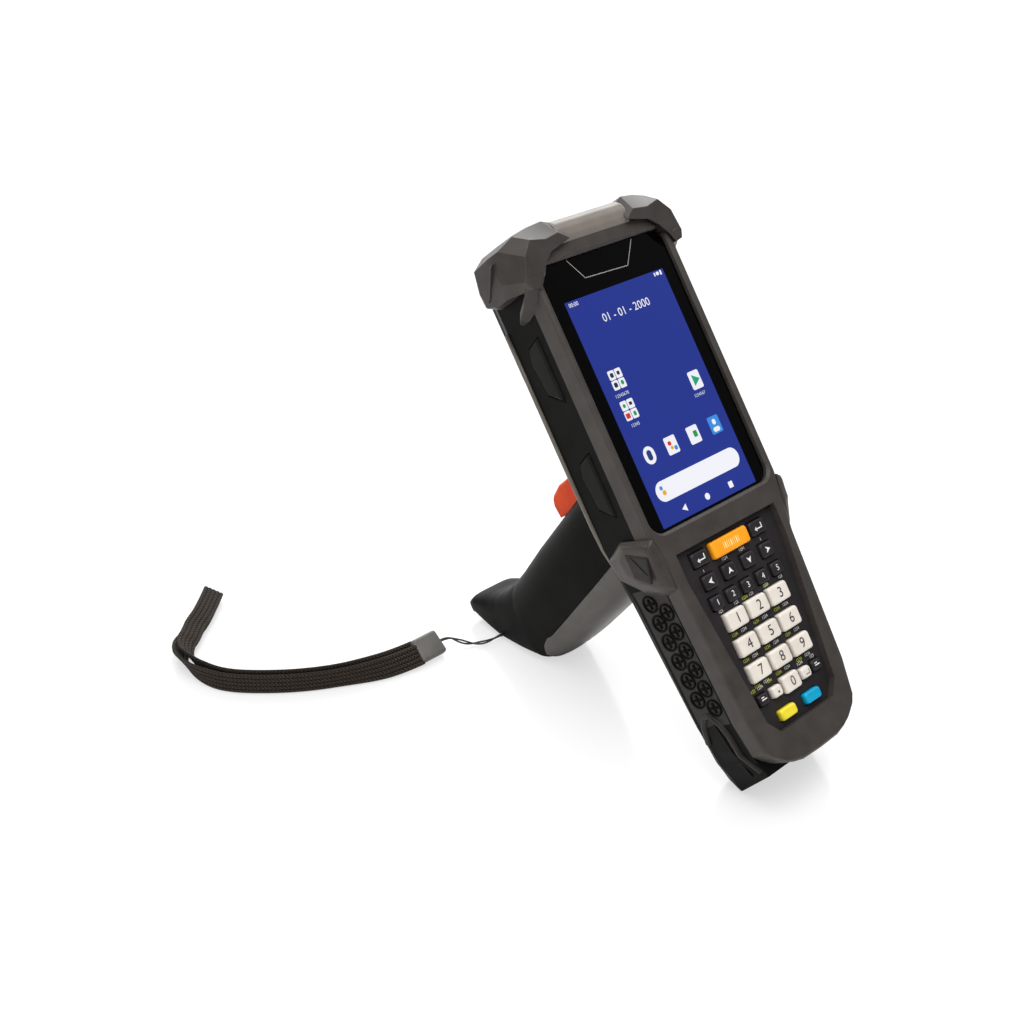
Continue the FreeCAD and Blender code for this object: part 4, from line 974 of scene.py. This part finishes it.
key_mark("key_back", "_mark", band([(10.6, -122.2), (10.6, -123.8), (8.4, -123.8)], 0.3), ink_dark)
bars = [rounded(-4.4 + 1.1 * i, -63.1, 0.28 + 0.28 * (i % 3 == 1), 2.6, 0.05, 2) for i in range(9)]
key_mark("key_scan", "_mark", bars, make_printed("printed_pale_yellow", "#ffe9a0"))

white_rows = [(-17.6, -68.2, 1.0), (-4.8, -67.9, 3.4), (5.6, -68.0, 3.4), (17.6, -68.2, 1.0)]
white_rows += [(9.3 * i + 0.6, -85.2, 2.2) for i in (-2, -1, 0, 1, 2)]
white_rows += [(13.2 * i + 2.4, -95.8 - 11 * row, 3.2) for row in range(3) for i in (-1, 0, 1)]
white_rows += [(-15.4, -118.6, 3.0), (9.6, -119.2, 3.6), (17.4, -119.4, 2.4)]
green_rows = [(13.2 * i - 3.0, -95.8 - 11 * row, 3.6) for row in range(3) for i in (-1, 0, 1)]
green_rows += [(13.2 * i - 3.4, -85.3, 3.2) for i in (0, 1)] + [(-19.6, -118.6, 2.8), (-9.6, -118.4, 3.6)]
for name, rows, ink in (("plate_marks_white", white_rows, ink_white),
                        ("plate_marks_green", green_rows, ink_green)):
    texts = [("1234567890"[:round(length / 0.85)], across, up, 1.8) for across, up, length in rows]
    number_rows(name, texts, PLATE_LEVEL, ink, "keypad_black")

# Back and insides: the battery's door and latch, the case screws, the scan window and the hidden pieces.
# They keep the shapes of the solids and are moulded or turned as usual.
def make_steel():
    """Zinc-plated steel: bright metal with a slightly uneven sheen."""
    material, tree = new_material("zinc_plated_steel")
    noise = add_node(tree, "TexNoise", Scale=500)
    rough = add_node(tree, "MapRange", [("Value", noise.outputs[0])], To_Min=0.25, To_Max=0.4)
    return coated(material, [("Roughness", rough.outputs[0])], Base_Color=linear("#8a8b8d"), Metallic=1.0)


steel = make_steel()
board_green = moulded("solder_mask", "#0f3b22", "#16482b", 0.4, 0.0005, 0.1, 0.4)
HIDDEN = {"battery_pack": black_shell, "battery_latch": plate_black, "keypad_mat": side_rubber,
          "main_board": board_green, "display_module": steel, "scan_engine": black_shell,
          "scan_window": make_glass(), "trigger_switch": plate_black, "trigger_pin": steel,
          "case_screws": steel, "lanyard_post": steel}
for node, finish in HIDDEN.items():
    frame["nodes"][node].data.materials.clear()
    frame["nodes"][node].data.materials.append(finish)

# Studio: a white sweep with a faint gloss, so the terminal has a soft shadow and a pale reflection.
# A large soft lamp stands above the front, and the world is bright only behind and to the right.
def make_studio_white():
    """Glossy white card: white to the camera for the most part, and lit card for the rest."""
    material, tree = new_material("glossy_white_card")
    path = add_node(tree, "LightPath")
    share = add_node(tree, "Math", [(0, path.outputs["Is Camera Ray"]), (1, 0.6)], operation="MULTIPLY")
    card = add_node(tree, "BsdfPrincipled", [("Roughness", ranged_noise(tree, 3, 0.13, 0.17))],
                    Base_Color=linear("#f4f4f4"))
    white = add_node(tree, "Emission", Strength=1.0)
    mixed = add_node(tree, "MixShader", [(0, share.outputs[0]), (1, card.outputs[0]), (2, white.outputs[0])])
    add_node(tree, "OutputMaterial", [(0, mixed.outputs[0])])
    return material


floor = new_object("floor", [(-4, -4, -0.0002), (4, -4, -0.0002), (4, 6, -0.0002), (-4, 6, -0.0002)],
                   [[0, 1, 2, 3]])
floor.data.materials.append(make_studio_white())

world = bpy.data.worlds.new("studio")
bpy.context.scene.world = world
world.use_nodes = True
tree = world.node_tree
tree.nodes.clear()
path = add_node(tree, "LightPath")
place = add_node(tree, "TexCoord")
toward = add_node(tree, "VectorMath", [(0, place.outputs["Generated"]), (1, (0.50, 0.72, 0.48))],
                  operation="DOT_PRODUCT")
glow = add_node(tree, "MapRange", [("Value", toward.outputs["Value"])], interpolation_type="SMOOTHSTEP",
                From_Min=0.1, From_Max=0.95, To_Min=0.17, To_Max=1.7)
fill = add_node(tree, "Background", [("Strength", glow.outputs[0])], Color=(1, 1, 1, 1))
white = add_node(tree, "Background", Color=(1, 1, 1, 1), Strength=1.0)
mixed = add_node(tree, "MixShader", [(0, path.outputs["Is Camera Ray"]), (1, fill.outputs[0]),
                                     (2, white.outputs[0])])
add_node(tree, "OutputWorld", [(0, mixed.outputs[0])])


def add_lamp(name, place, size, power, turn):
    """A square soft lamp that looks along its turned minus Z."""
    lamp = add_object(name, bpy.data.lights.new(name, "AREA"))
    lamp.data.shape = "SQUARE"
    lamp.data.size = size
    lamp.data.energy = power
    lamp.location = place
    lamp.rotation_euler = turn


def aim(place, target=(0, -0.03, 0.11)):
    """Euler angles that turn minus Z from the place to the target."""
    away = np.asarray(place) - target
    return (np.arctan2(np.hypot(away[0], away[1]), away[2]), 0, np.arctan2(away[0], -away[1]))


for name, place, size, power in (("softbox_above", (-0.25, -0.35, 1.25), 0.9, 13.5),
                                 ("softbox_left", (-1.3, -0.5, 0.75), 0.7, 4),
                                 ("softbox_back", (0.85, 0.75, 0.9), 0.7, 6.5)):
    add_lamp(name, place, size, power, aim(place))
